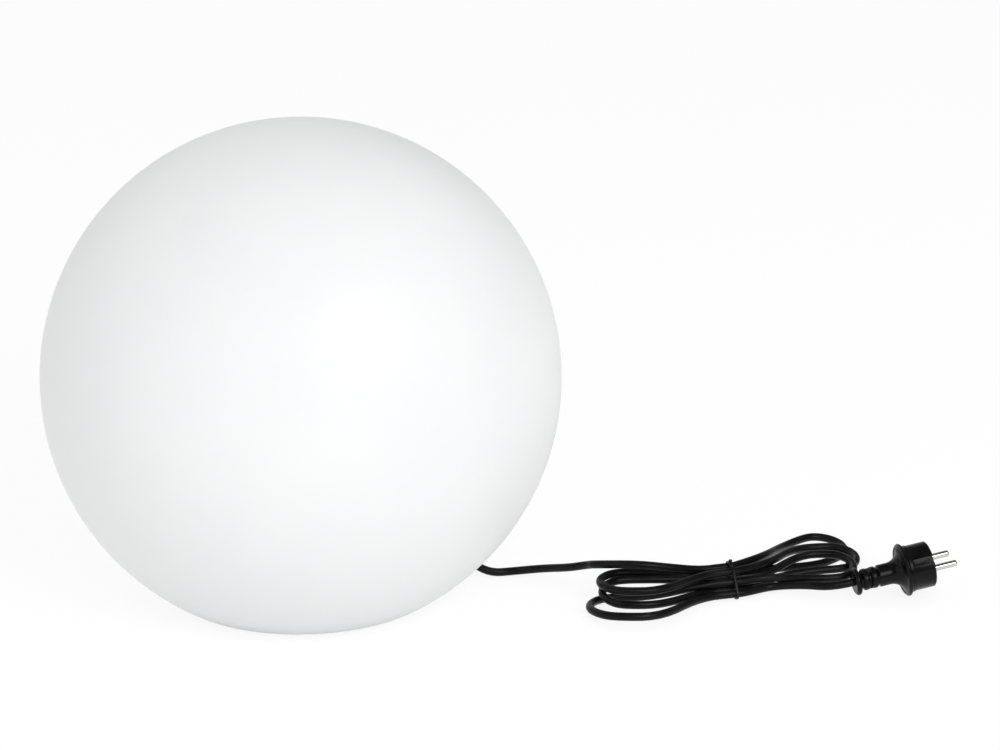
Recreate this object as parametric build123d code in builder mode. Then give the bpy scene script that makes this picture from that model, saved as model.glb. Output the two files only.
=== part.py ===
"""Garden globe light: a moulded globe on a low base, with its lead, hank and plug.

Millimetres, +Z up. The origin is on the ground, under the middle of the globe.
"""
import math
import os

from build123d import *

os.makedirs("parts", exist_ok=True)

# ---------------------------------------------------------------- clearances
RUN_CLEARANCE = 0.05        # a screw or cap that slides in its bore, on the radius
LOOSE_CLEARANCE = 0.3       # pieces that face each other without touching
HOLE_CLEARANCE = 0.25       # a screw in its through hole, on the radius

# --------------------------------------------------------------------- globe
GLOBE_RADIUS = 200.0
GLOBE_FLAT_RADIUS = 108.0   # where the flat underside meets the curve
GLOBE_WALL = 3.0
GLOBE_STANDS_OFF = 2.0      # the flat underside above the ground
RIM_ROUNDING = 5.0
NECK_RADIUS = 58.0
LEDGE_WIDTH = 24.0          # round the neck, where the base is screwed on
RECESS_DEPTH = 24.0

# ---------------------------------------------------------------------- base
SKIRT_GAP = 2.0             # round the housing, inside the recess
BASE_WALL = 3.0
HOUSING_FOOT_INSET = 1.0    # the housing's lower edge above the globe's flat
HOUSING_EDGE = 1.2
SPIGOT_GAP = 0.5
SPIGOT_WALL = 2.5
SPIGOT_HEIGHT = 5.5
RIB_COUNT = 8
RIB_THICKNESS = 2.0
RIB_DEPTH = 4.0
PILLAR_RADIUS = 3.6
GASKET_THICKNESS = 1.5
GASKET_WIDTH = 7.0
GASKET_INSET = 0.8          # from the neck's edge
COVER_THICKNESS = 3.0
PAD_RADIUS = 8.0
PAD_RECESS = 1.5
PAD_INSET = 18.0            # the pads' circle inside the base screws'
PAD_COUNT = 4
PAD_ROUNDING = 0.8
BASE_SCREW_OFFSET = 12.0    # the screws' circle outside the globe's neck
BASE_SCREW_COUNT = 4
BASE_SCREW_RADIUS = 2.0
BASE_SCREW_LENGTH = 24.0
SCREW_HEAD_RADIUS = 3.8
SCREW_HEAD_HEIGHT = 2.6
SCREW_TOWER_RADIUS = 5.6
SCREW_SEAT_DEPTH = 10.0     # the towers below the housing's top
DRIVER_HOLE_RADIUS = 5.0
BOSS_RADIUS = 6.0
BOSS_HEIGHT = 14.0
BOSS_END = 2.0              # the boss's closed end
INSERT_RADIUS = 2.9
INSERT_LENGTH = 9.0
COVER_SCREW_INSET = 14.0    # the cover's screws inside the housing's outside
COVER_SCREW_RADIUS = 1.5
COVER_SCREW_LENGTH = 10.0
COVER_SCREW_HEAD_RADIUS = 2.8
COVER_SCREW_HEAD_HEIGHT = 1.6

# ----------------------------------------------------------------- lamp post
POST_FOOT_RADIUS = 46.0
POST_FOOT_THICKNESS = 3.5
POST_LOWER_RADIUS = 31.0
POST_UPPER_RADIUS = 21.0
POST_HEIGHT = 62.0
POST_WALL = 2.5
POST_RIB_COUNT = 6
POST_RIB_TURN = 30.0        # from the lead's side, so they pass between the screws
POST_RIB_THICKNESS = 2.5
POST_SCREW_CIRCLE = 39.0
POST_SCREW_COUNT = 3
POST_SCREW_RADIUS = 1.5
POST_SCREW_LENGTH = 10.0    # the hole below the housing's top
POST_SCREW_END = 1.0
POST_EDGE = 1.0
POST_RIB_INSET = 2.0
POST_RIB_TOE = 2.0
POST_RIB_HEIGHT = 16.0
POST_PILLAR_DEPTH = 8.0
WIRE_HOLE_RADIUS = 12.0

# --------------------------------------------------------------- lamp holder
NIPPLE_RADIUS = 5.0
NIPPLE_BORE_RADIUS = 3.6
NIPPLE_NUT_RADIUS = 8.5
NIPPLE_NUT_HEIGHT = 3.0
NIPPLE_END = 1.5            # past the nut
NIPPLE_TOP_END = 0.5        # past the holder's foot
NIPPLE_CHAMFER = 0.5
HOLDER_FOOT_RADIUS = 15.0
HOLDER_FOOT_THICKNESS = 3.0
HOLDER_CUP_HEIGHT = 18.0
HOLDER_EDGE = 1.5
GRIP_COUNT = 20
GRIP_RADIUS = 0.9
GRIP_LENGTH = 18.0
HOLDER_RADIUS = 20.0
HOLDER_HEIGHT = 46.5
HOLDER_WALL = 3.0
HOLDER_FLOOR_HEIGHT = 16.0  # from the holder's foot to the contact plate's top
CONTACT_PLATE_THICKNESS = 6.0
BLOCK_SEAT = 1.5            # the step under the contact block
SLEEVE_WALL = 0.6
SLEEVE_FOOT_GAP = 4.0       # the sleeve's lower end above the contact plate
SLEEVE_TOP_GAP = 6.0        # the sleeve's upper end below the holder's rim
CONTACT_RISE = 4.5
CONTACT_WIDTH = 7.0
CONTACT_REACH = 7.5
CONTACT_CHAMFER = 0.8
SLEEVE_LEG_WIDTH = 8.0
CONTACT_THICKNESS = 0.8
CONTACT_GAP = 0.1           # under the lamp's own contact
TERMINAL_SIZE = (6.0, 9.0)
TERMINAL_SPACING = 8.0
TERMINAL_DROP = 5.5         # below the contact block
TERMINAL_SEAT = 1.5         # let into the block
TERMINAL_CHAMFER = 0.6

# ---------------------------------------------------------------------- lamp
CAP_RADIUS = 13.1
CAP_THREAD_DEPTH = 0.8
CAP_THREAD_TURNS = 4
CAP_THREAD_PITCH = 3.6
CAP_LENGTH = 22.0
CAP_LIP = 2.0
CAP_WALL = 0.5
CAP_CLEARANCE = 0.1         # to the sleeve, on the radius
CAP_CREST_ROUNDING = 0.7
INSULATOR_HEIGHT = 3.4
INSULATOR_RIM = 1.4
BOARD_INSET = 3.1           # the board's edge inside the lamp's outside
BOARD_THICKNESS = 1.6
BOARD_LED_CIRCLE = 16.0
BOARD_LED_COUNT = 10
BOARD_LED_SIZE = 2.8
BOARD_LED_HEIGHT = 0.8
BULB_CONTACT_RADIUS = 4.6
BULB_CONTACT_HEIGHT = 1.4
BULB_LENGTH = 108.0
BULB_RADIUS = 30.0
BULB_HOUSING_LENGTH = 34.0
BULB_NECK_RADIUS = 14.2
BULB_SKIN = 1.4

# ---------------------------------------------------------------------- lead
CORD_DIAMETER = 6.2
CORE_RADIUS = 1.0
CORD_EXIT_ANGLE = 6.0       # about +Z, from +X
CORD_EXIT_HEIGHT = 13.6
RELIEF_LENGTH = 34.0
RELIEF_ROOT_RADIUS = 5.6
RELIEF_TIP_RADIUS = 4.2
RELIEF_FLANGE_RADIUS = 7.2
RELIEF_FLANGE_THICKNESS = 2.0
RELIEF_RING_COUNT = 5
RELIEF_RING_DEPTH = 0.7
CHANNEL_RADIUS = 7.6        # the globe's channel over the boot
SHEATH_PAST_CLAMP = 10.0    # the sheath's end inside the clamp
CLAMP_INSET = 18.0          # the clamp inside the housing's outside
CLAMP_LENGTH = 9.0
CLAMP_WIDTH = 23.0
CLAMP_THICKNESS = 3.0
CLAMP_SCREW_SPACING = 17.0
CLAMP_SCREW_RADIUS = 1.5
CLAMP_STRAP = 2.0           # the saddle's wall under the lead
CLAMP_SCREW_END = 0.5       # the screw stops short of its hole
CLAMP_HEAD_RADIUS = 2.8
CLAMP_HEAD_HEIGHT = 2.0
CORE_SPACING = 3.0
CORE_BEND = 8.0
CLAMP_SCREW_GRIP = 6.0      # the screws' hold in the housing
RELIEF_GROOVE_RADIUS = 5.8

# ---------------------------------------------------------------------- plug
PLUG_COLLAR_AT = (466.5, -27.2)     # the collar's centre, seen from above
PLUG_TURN = 11.0            # about +Z, from +X
PLUG_RISE = 10.0            # the pins' end stands higher
PLUG_ROLL = 1.0             # the line of the pins, about the plug's axis
PLUG_COLLAR_RADIUS = 20.8
PLUG_COLLAR_THICKNESS = 3.0
PLUG_GROUND_GAP = 0.1       # under the collar
PLUG_SHOULDER_AT = 5.4      # the collar's front slope ends, from its centre
PLUG_FLARE_RADIUS = 10.0
PLUG_FLARE_TURN = 80.0
PLUG_BODY_RADIUS = 17.9
PLUG_FACE_AT = 21.5         # from the collar's centre
PLUG_NECK_RADIUS = 8.6
PLUG_NECK_AT = 21.0         # the neck's end, behind the collar's centre
PLUG_FLANGE_AT = 38.5
PLUG_FLANGE_RADIUS = 10.8
PLUG_FLANGE_THICKNESS = 4.4
PLUG_RING_RADIUS = 8.5
PLUG_RING_THICKNESS = 5.0
PLUG_RING_PITCH = 6.9
PLUG_RING_COUNT = 2
PLUG_CORE_RADIUS = 6.2
PLUG_EDGE = 0.8
GUIDE_WIDTH = 6.4
GUIDE_DEPTH = 2.6
GUIDE_LENGTH = 16.0
GUIDE_TURN = 38.0           # from the line of the pins
PIN_DIAMETER = 4.8
PIN_LENGTH = 19.0
PIN_SPACING = 19.0
PIN_TIP_ROUNDING = 1.6
INSERT_RIM = 3.4            # the moulding's rim round the pin carrier
CARRIER_THICKNESS = 8.0
CARRIER_DISH = 1.0          # the shallow hollow in the face

# ------------------------------------------------- lead, hank and tie on the ground
TIE_AT = (338.9, -21.5)     # middle of the hank's waist, seen from above
HANK_TURN = 13.0            # the hank's own axis, about +Z
WAIST_HALF = 9.0
WAIST_FLOOR = 4.7           # lowest strand's axis above the ground, room for the tie
WAIST_ROW = 6.8             # from one row of strands to the next
# Each strand in the waist: place across it, row, and how far it fans out to the right
STRANDS = (
    (11.3, 2, 28.3),
    (7.6, 1, 22.4),
    (3.9, 2, 18.8),
    (-7.5, 0, 18.8),
    (0.2, 1, 13.3),
    (-6.7, 1, -7.5),
    (-14.4, 0, 0.0),
)
# Each fold: side, reach and offset of its half turn, its half width, the heights of its
# two sides, and its lean
FOLDS = (
    (1, 84.5, 65.2, 20.0, 7.4, 3.3, 44.4),
    (-1, 89.0, -1.9, 22.1, 18.3, 18.8, -0.4),
    (1, 84.2, 34.4, 20.0, 14.3, 6.0, 30.9),
    (-1, 89.4, -6.7, 21.2, 8.1, 11.1, 0.4),
    (1, 72.8, 2.0, 19.1, 13.9, 11.3, 7.4),
    (-1, 97.9, -15.6, 26.4, 3.9, 4.2, 0.9),
)
LEAD_ROUTE = (
    (149.0, 11.5, 3.5),
    (168.0, 12.7, 3.3),
    (187.0, 6.0, 8.2),
    (206.0, -5.0, 15.2),
    (225.0, -18.1, 22.0),
    (243.0, -29.3, 26.7),
    (262.0, -35.3, 27.9),
    (283.0, -32.7, 25.1),
)
TAIL_ROUTE = ((392.0, -34.8, 8.2),)
STRAIGHT_RUN = 17.0         # a cord's run out of a neighbour, in line with it
TIE_WIDTH = 1.6
TIE_THICKNESS = 1.1
TIE_GAP = 0.35
TIE_KNOT_RADIUS = 1.2
TIE_KNOT_LENGTH = 5.0
TIE_KNOT_LEAN = 0.5

# ------------------------------------------------------------------- measures
ARC_SHARE = 0.45            # of the shorter run, for each arc of a free cord
FLAT_ENOUGH = 1e-6
GAP_STEP = 2.0              # between the points that measure the hank

# ------------------------------------------------------------ heights and directions
GLOBE_CENTRE_Z = GLOBE_STANDS_OFF + math.sqrt(GLOBE_RADIUS**2 - GLOBE_FLAT_RADIUS**2)
LEDGE_Z = GLOBE_STANDS_OFF + RECESS_DEPTH
HOUSING_TOP_Z = LEDGE_Z - GASKET_THICKNESS
HOUSING_FOOT_Z = GLOBE_STANDS_OFF + HOUSING_FOOT_INSET
RECESS_RADIUS = NECK_RADIUS + LEDGE_WIDTH
HOUSING_RADIUS = RECESS_RADIUS - SKIRT_GAP
BASE_SCREW_CIRCLE = NECK_RADIUS + BASE_SCREW_OFFSET
COVER_SCREW_CIRCLE = HOUSING_RADIUS - COVER_SCREW_INSET
BOARD_RADIUS = BULB_RADIUS - BOARD_INSET
PAD_CIRCLE = BASE_SCREW_CIRCLE - PAD_INSET
CLAMP_AT = HOUSING_RADIUS - CLAMP_INSET
SHEATH_END = CLAMP_AT - SHEATH_PAST_CLAMP
PLATE_UNDERSIDE_Z = HOUSING_TOP_Z - BASE_WALL
COVER_TOP_Z = HOUSING_FOOT_Z + COVER_THICKNESS
SCREW_SEAT_Z = HOUSING_TOP_Z - SCREW_SEAT_DEPTH
POST_FOOT_TOP_Z = HOUSING_TOP_Z + POST_FOOT_THICKNESS
POST_TOP_Z = HOUSING_TOP_Z + POST_HEIGHT
HOLDER_RIM_Z = POST_TOP_Z + HOLDER_HEIGHT
CONTACT_PLATE_Z = POST_TOP_Z + HOLDER_FLOOR_HEIGHT
CENTRE_CONTACT_Z = CONTACT_PLATE_Z + CONTACT_RISE
BULB_FOOT_Z = CENTRE_CONTACT_Z + CONTACT_GAP
TERMINAL_FOOT_Z = CONTACT_PLATE_Z - CONTACT_PLATE_THICKNESS - TERMINAL_DROP
CORD_RADIUS = CORD_DIAMETER / 2


def around(radius, angle, z=0.0):
    """A point at an angle about +Z, from +X."""
    turn = math.radians(angle)
    return Vector(radius * math.cos(turn), radius * math.sin(turn), z)


def ring_points(radius, count, first_angle, z=0.0):
    """Evenly spaced points on a circle."""
    return [around(radius, first_angle + 360.0 * n / count, z) for n in range(count)]


def radial_plane(radius, angle, z):
    """A plane that faces outwards from the axis, with its Y up."""
    return Plane(origin=around(radius, angle, z), x_dir=around(1.0, angle + 90.0), z_dir=around(1.0, angle))


FIRST_SCREW_ANGLE = CORD_EXIT_ANGLE + 180.0 / BASE_SCREW_COUNT
BASE_SCREW_POINTS = ring_points(BASE_SCREW_CIRCLE, BASE_SCREW_COUNT, FIRST_SCREW_ANGLE)
COVER_SCREW_POINTS = [around(COVER_SCREW_CIRCLE, CORD_EXIT_ANGLE + turn) for turn in (90.0, 180.0, 270.0)]
PAD_POINTS = ring_points(PAD_CIRCLE, PAD_COUNT, FIRST_SCREW_ANGLE)
FIRST_POST_SCREW_ANGLE = CORD_EXIT_ANGLE + 180.0 / POST_SCREW_COUNT
POST_SCREW_POINTS = ring_points(POST_SCREW_CIRCLE, POST_SCREW_COUNT, FIRST_POST_SCREW_ANGLE)
EXIT_DIRECTION = around(1.0, CORD_EXIT_ANGLE)


def channel_form(radius):
    """The straight channel for the lead's boot, open below, from inside the recess outwards."""
    with BuildPart() as form:
        with BuildSketch(radial_plane(NECK_RADIUS, CORD_EXIT_ANGLE, CORD_EXIT_HEIGHT)):
            Circle(radius)
            with Locations((0, -CORD_EXIT_HEIGHT / 2)):
                Rectangle(2 * radius, CORD_EXIT_HEIGHT)
        extrude(amount=GLOBE_RADIUS - NECK_RADIUS)
    return form.part


# The globe: a moulded dome with a flat rim, open round the seat ring that is welded into it
inner_flat_z = GLOBE_STANDS_OFF + GLOBE_WALL
ledge_top_z = LEDGE_Z + GLOBE_WALL
seat_radius = RECESS_RADIUS + GLOBE_WALL


def globe_solid(radius, flat_z):
    """A ball round the globe's middle, cut flat at a height."""
    with BuildPart() as solid:
        with Locations((0, 0, GLOBE_CENTRE_Z)):
            Sphere(radius)
        split(bisect_by=Plane.XY.offset(flat_z), keep=Keep.TOP)
    return solid.part


with BuildPart() as globe_shell:
    add(globe_solid(GLOBE_RADIUS, GLOBE_STANDS_OFF))
    fillet(globe_shell.edges().filter_by(GeomType.CIRCLE).group_by(Axis.Z)[0], radius=RIM_ROUNDING)
    add(globe_solid(GLOBE_RADIUS - GLOBE_WALL, inner_flat_z), mode=Mode.SUBTRACT)
    with BuildSketch():
        Circle(seat_radius + RUN_CLEARANCE)
    extrude(amount=ledge_top_z, mode=Mode.SUBTRACT)
    add(channel_form(CHANNEL_RADIUS + GLOBE_WALL + RUN_CLEARANCE), mode=Mode.SUBTRACT)
globe_shell.part.label = "globe_shell"
export_step(globe_shell.part, "parts/globe_shell.step")

# The seat ring: the recess round the base, its ledge and bosses, and the channel over the lead
with BuildPart() as globe_seat:
    with BuildSketch(Plane.XY.offset(GLOBE_STANDS_OFF)):
        Circle(seat_radius)
    extrude(amount=ledge_top_z - GLOBE_STANDS_OFF)
    with BuildPart(mode=Mode.PRIVATE) as channel_wall:
        add(channel_form(CHANNEL_RADIUS + GLOBE_WALL))
        add(globe_solid(GLOBE_RADIUS, GLOBE_STANDS_OFF), mode=Mode.INTERSECT)
    add(channel_wall.part)
    with BuildSketch(Plane.XY.offset(ledge_top_z)):
        with Locations(*BASE_SCREW_POINTS):
            Circle(BOSS_RADIUS)
    extrude(amount=BOSS_HEIGHT)
    with BuildSketch():
        Circle(RECESS_RADIUS)
    extrude(amount=LEDGE_Z, mode=Mode.SUBTRACT)
    with BuildSketch():
        Circle(NECK_RADIUS)
    extrude(amount=ledge_top_z, mode=Mode.SUBTRACT)
    add(channel_form(CHANNEL_RADIUS), mode=Mode.SUBTRACT)
    with BuildSketch(Plane.XY.offset(LEDGE_Z)):
        with Locations(*BASE_SCREW_POINTS):
            Circle(INSERT_RADIUS)
    extrude(amount=GLOBE_WALL + BOSS_HEIGHT - BOSS_END, mode=Mode.SUBTRACT)
globe_seat.part.label = "globe_seat"
export_step(globe_seat.part, "parts/globe_seat.step")

# Brass inserts in the bosses, which the base screws pass into
with BuildPart() as threaded_inserts:
    with BuildSketch(Plane.XY.offset(LEDGE_Z)):
        with Locations(*BASE_SCREW_POINTS):
            Circle(INSERT_RADIUS)
            Circle(BASE_SCREW_RADIUS + RUN_CLEARANCE, mode=Mode.SUBTRACT)
    extrude(amount=INSERT_LENGTH)
threaded_inserts.part.label = "threaded_inserts"
export_step(threaded_inserts.part, "parts/threaded_inserts.step")

# ------------------------------------------------------------------------------- base
# The housing: a shallow drum, open below, with a spigot that centres the globe's neck
spigot_radius = NECK_RADIUS - SPIGOT_GAP
with BuildPart() as base_housing:
    with BuildSketch(Plane.XY.offset(PLATE_UNDERSIDE_Z)):
        Circle(HOUSING_RADIUS)
        Circle(WIRE_HOLE_RADIUS, mode=Mode.SUBTRACT)
    extrude(amount=BASE_WALL)
    with BuildSketch(Plane.XY.offset(HOUSING_FOOT_Z)):
        Circle(HOUSING_RADIUS)
        Circle(HOUSING_RADIUS - BASE_WALL, mode=Mode.SUBTRACT)
    extrude(amount=PLATE_UNDERSIDE_Z - HOUSING_FOOT_Z)
    fillet(base_housing.edges().filter_by(GeomType.CIRCLE).group_by(Axis.Z)[-1].sort_by(SortBy.RADIUS)[-1],
           radius=HOUSING_EDGE)
    with BuildSketch(Plane.XY.offset(HOUSING_TOP_Z)):
        Circle(spigot_radius)
        Circle(spigot_radius - SPIGOT_WALL, mode=Mode.SUBTRACT)
    extrude(amount=SPIGOT_HEIGHT)
    # stiffening ribs under the plate
    with BuildSketch(Plane.XY.offset(PLATE_UNDERSIDE_Z - RIB_DEPTH)):
        with Locations((0, 0)):
            Circle(WIRE_HOLE_RADIUS + RIB_THICKNESS)
            Circle(WIRE_HOLE_RADIUS, mode=Mode.SUBTRACT)
        rib_length = HOUSING_RADIUS - WIRE_HOLE_RADIUS - BASE_WALL
        with PolarLocations(WIRE_HOLE_RADIUS + rib_length / 2 + RIB_THICKNESS / 2, RIB_COUNT,
                            start_angle=CORD_EXIT_ANGLE + 180.0 / RIB_COUNT):
            Rectangle(rib_length, RIB_THICKNESS)
    extrude(amount=RIB_DEPTH)
    # towers for the screws to the globe, pillars for the cover and the post, and the clamp's seat
    with BuildSketch(Plane.XY.offset(SCREW_SEAT_Z)):
        with Locations(*BASE_SCREW_POINTS):
            Circle(SCREW_TOWER_RADIUS)
    extrude(amount=PLATE_UNDERSIDE_Z - SCREW_SEAT_Z)
    with BuildSketch(Plane.XY.offset(COVER_TOP_Z)):
        with Locations(*COVER_SCREW_POINTS):
            Circle(PILLAR_RADIUS)
    extrude(amount=PLATE_UNDERSIDE_Z - COVER_TOP_Z)
    with BuildSketch(Plane.XY.offset(PLATE_UNDERSIDE_Z - POST_PILLAR_DEPTH)):
        with Locations(*POST_SCREW_POINTS):
            Circle(PILLAR_RADIUS)
    extrude(amount=POST_PILLAR_DEPTH)
    with BuildSketch(Plane.XY.offset(CORD_EXIT_HEIGHT + CORD_RADIUS)):
        with Locations(Location(around(CLAMP_AT, CORD_EXIT_ANGLE), (0, 0, CORD_EXIT_ANGLE))):
            Rectangle(CLAMP_LENGTH, CLAMP_WIDTH)
    extrude(amount=PLATE_UNDERSIDE_Z - CORD_EXIT_HEIGHT - CORD_RADIUS)
    # holes for all of them, and for the lead's boot
    with Locations(*[point + Vector(0, 0, HOUSING_TOP_Z) for point in BASE_SCREW_POINTS]):
        Hole(BASE_SCREW_RADIUS + HOLE_CLEARANCE, depth=SCREW_SEAT_DEPTH)
    with BuildSketch(Plane.XY.offset(COVER_TOP_Z)):
        with Locations(*COVER_SCREW_POINTS):
            Circle(COVER_SCREW_RADIUS)
    extrude(amount=COVER_SCREW_LENGTH, mode=Mode.SUBTRACT)
    with Locations(*[point + Vector(0, 0, HOUSING_TOP_Z) for point in POST_SCREW_POINTS]):
        Hole(POST_SCREW_RADIUS, depth=POST_SCREW_LENGTH)
    with BuildSketch(Plane.XY.offset(CORD_EXIT_HEIGHT + CORD_RADIUS)):
        with Locations(Location(around(CLAMP_AT, CORD_EXIT_ANGLE), (0, 0, CORD_EXIT_ANGLE))):
            with GridLocations(0, CLAMP_SCREW_SPACING, 1, 2):
                Circle(CLAMP_SCREW_RADIUS)
    extrude(amount=CLAMP_SCREW_GRIP, mode=Mode.SUBTRACT)
    with BuildSketch(radial_plane(HOUSING_RADIUS - 2 * BASE_WALL, CORD_EXIT_ANGLE, CORD_EXIT_HEIGHT)):
        Circle(RELIEF_GROOVE_RADIUS)
    extrude(amount=3 * BASE_WALL, mode=Mode.SUBTRACT)
base_housing.part.label = "base_housing"
export_step(base_housing.part, "parts/base_housing.step")

with BuildPart() as base_gasket:
    with BuildSketch(Plane.XY.offset(HOUSING_TOP_Z)):
        Circle(NECK_RADIUS + GASKET_INSET + GASKET_WIDTH)
        Circle(NECK_RADIUS + GASKET_INSET, mode=Mode.SUBTRACT)
    extrude(amount=GASKET_THICKNESS)
base_gasket.part.label = "base_gasket"
export_step(base_gasket.part, "parts/base_gasket.step")


def screw_group(points, seat_z, up, shank_radius, shank_length, head_radius, head_height):
    """Pan-head screws with a cross recess; up is 1 where the shank points up from the seat."""
    with BuildPart() as group:
        with BuildSketch(Plane.XY.offset(seat_z)):
            with Locations(*points):
                Circle(shank_radius)
        extrude(amount=up * shank_length)
        with BuildSketch(Plane.XY.offset(seat_z)):
            with Locations(*points):
                Circle(head_radius)
        extrude(amount=-up * head_height)
        rims = group.edges().filter_by(GeomType.CIRCLE).group_by(Axis.Z)[0 if up > 0 else -1]
        fillet(rims, radius=head_height / 3)
        with BuildSketch(Plane.XY.offset(seat_z - up * head_height)):
            with Locations(*points):
                Rectangle(head_radius, head_radius / 4)
                Rectangle(head_radius / 4, head_radius)
        extrude(amount=up * head_height / 2, mode=Mode.SUBTRACT)
    return group.part


base_screws = screw_group(BASE_SCREW_POINTS, SCREW_SEAT_Z, 1, BASE_SCREW_RADIUS, BASE_SCREW_LENGTH,
                          SCREW_HEAD_RADIUS, SCREW_HEAD_HEIGHT)
base_screws.label = "base_screws"
export_step(base_screws, "parts/base_screws.step")

# The cover closes the housing from below and carries the rubber pads
cover_radius = HOUSING_RADIUS - BASE_WALL - LOOSE_CLEARANCE
with BuildPart() as base_cover:
    with BuildSketch(Plane.XY.offset(HOUSING_FOOT_Z)):
        Circle(cover_radius)
        with Locations(*BASE_SCREW_POINTS):
            Circle(DRIVER_HOLE_RADIUS, mode=Mode.SUBTRACT)
        with Locations(*COVER_SCREW_POINTS):
            Circle(COVER_SCREW_RADIUS + HOLE_CLEARANCE, mode=Mode.SUBTRACT)
    extrude(amount=COVER_THICKNESS)
    with BuildSketch(Plane.XY.offset(HOUSING_FOOT_Z)):
        with Locations(*PAD_POINTS):
            Circle(PAD_RADIUS)
    extrude(amount=PAD_RECESS, mode=Mode.SUBTRACT)
    with BuildSketch(Plane.XY.offset(HOUSING_FOOT_Z)):
        with Locations(*COVER_SCREW_POINTS):
            Circle(COVER_SCREW_HEAD_RADIUS + HOLE_CLEARANCE)
    extrude(amount=COVER_SCREW_HEAD_HEIGHT, mode=Mode.SUBTRACT)
base_cover.part.label = "base_cover"
export_step(base_cover.part, "parts/base_cover.step")

cover_screws = screw_group(COVER_SCREW_POINTS, HOUSING_FOOT_Z + COVER_SCREW_HEAD_HEIGHT, 1,
                           COVER_SCREW_RADIUS, COVER_SCREW_LENGTH, COVER_SCREW_HEAD_RADIUS,
                           COVER_SCREW_HEAD_HEIGHT)
cover_screws.label = "cover_screws"
export_step(cover_screws, "parts/cover_screws.step")

with BuildPart() as foot_pads:
    with BuildSketch():
        with Locations(*PAD_POINTS):
            Circle(PAD_RADIUS)
    extrude(amount=HOUSING_FOOT_Z + PAD_RECESS)
    fillet(foot_pads.edges().group_by(Axis.Z)[0], radius=PAD_ROUNDING)
foot_pads.part.label = "foot_pads"
export_step(foot_pads.part, "parts/foot_pads.step")

# ------------------------------------------------------------- the lead's way in
exit_axis = Axis(around(0, 0, CORD_EXIT_HEIGHT), EXIT_DIRECTION)
exit_section = Plane(origin=(0, 0, CORD_EXIT_HEIGHT), x_dir=EXIT_DIRECTION,
                     z_dir=around(1.0, CORD_EXIT_ANGLE - 90.0))
relief_root = HOUSING_RADIUS
relief_tip = relief_root + RELIEF_LENGTH
relief_inside = math.sqrt((HOUSING_RADIUS - BASE_WALL)**2 - RELIEF_FLANGE_RADIUS**2)


def relief_radius(distance):
    """The boot's outside, which tapers from root to tip."""
    share = (distance - relief_root) / RELIEF_LENGTH
    return RELIEF_ROOT_RADIUS + share * (RELIEF_TIP_RADIUS - RELIEF_ROOT_RADIUS)


# A rubber boot: an inner flange, a waist in the housing's wall, an outer flange and a ringed taper
with BuildPart() as strain_relief:
    with BuildSketch(exit_section):
        with BuildLine():
            flange_out = relief_root + RELIEF_FLANGE_THICKNESS
            Polyline(
                (relief_inside - RELIEF_FLANGE_THICKNESS, CORD_RADIUS),
                (relief_inside - RELIEF_FLANGE_THICKNESS, RELIEF_FLANGE_RADIUS),
                (relief_inside, RELIEF_FLANGE_RADIUS),
                (relief_inside, RELIEF_GROOVE_RADIUS),
                (relief_root, RELIEF_GROOVE_RADIUS),
                (relief_root, RELIEF_FLANGE_RADIUS),
                (flange_out, RELIEF_FLANGE_RADIUS),
                (flange_out, relief_radius(flange_out)),
                (relief_tip, RELIEF_TIP_RADIUS),
                (relief_tip, CORD_RADIUS),
                close=True,
            )
        make_face()
        ring_step = (relief_tip - flange_out) / (RELIEF_RING_COUNT + 1)
        for n in range(RELIEF_RING_COUNT):
            at = flange_out + (n + 1) * ring_step
            with Locations((at, relief_radius(at))):
                Rectangle(ring_step / 3, 2 * RELIEF_RING_DEPTH, mode=Mode.SUBTRACT)
    revolve(axis=exit_axis)
strain_relief.part.label = "strain_relief"
export_step(strain_relief.part, "parts/strain_relief.step")

# The saddle under the lead, inside the housing
clamp_top_z = CORD_EXIT_HEIGHT + CORD_RADIUS
with BuildPart() as cord_clamp:
    with BuildSketch(radial_plane(CLAMP_AT - CLAMP_LENGTH / 2, CORD_EXIT_ANGLE, CORD_EXIT_HEIGHT)):
        with Locations((0, CORD_RADIUS - CLAMP_THICKNESS / 2)):
            Rectangle(CLAMP_WIDTH, CLAMP_THICKNESS)
        Circle(CORD_RADIUS + CLAMP_STRAP)
        with Locations((0, CORD_RADIUS + CLAMP_STRAP)):
            Rectangle(CLAMP_WIDTH, 2 * CLAMP_STRAP, mode=Mode.SUBTRACT)
        Circle(CORD_RADIUS, mode=Mode.SUBTRACT)
        with Locations((0, CORD_RADIUS / 2)):
            Rectangle(CORD_DIAMETER, CORD_RADIUS, mode=Mode.SUBTRACT)
    extrude(amount=CLAMP_LENGTH)
    with BuildSketch(Plane.XY.offset(clamp_top_z - CLAMP_THICKNESS)):
        with Locations(Location(around(CLAMP_AT, CORD_EXIT_ANGLE), (0, 0, CORD_EXIT_ANGLE))):
            with GridLocations(0, CLAMP_SCREW_SPACING, 1, 2):
                Circle(CLAMP_SCREW_RADIUS + HOLE_CLEARANCE)
    extrude(amount=CLAMP_THICKNESS, mode=Mode.SUBTRACT)
cord_clamp.part.label = "cord_clamp"
export_step(cord_clamp.part, "parts/cord_clamp.step")

clamp_sideways = around(1.0, CORD_EXIT_ANGLE + 90.0)
CLAMP_SCREW_POINTS = [
    around(CLAMP_AT, CORD_EXIT_ANGLE) + side * CLAMP_SCREW_SPACING / 2 * clamp_sideways for side in (-1, 1)
]
clamp_screws = screw_group(CLAMP_SCREW_POINTS, clamp_top_z - CLAMP_THICKNESS, 1, CLAMP_SCREW_RADIUS,
                           CLAMP_THICKNESS + CLAMP_SCREW_GRIP - CLAMP_SCREW_END, CLAMP_HEAD_RADIUS,
                           CLAMP_HEAD_HEIGHT)
clamp_screws.label = "clamp_screws"
export_step(clamp_screws, "parts/clamp_screws.step")

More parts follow.
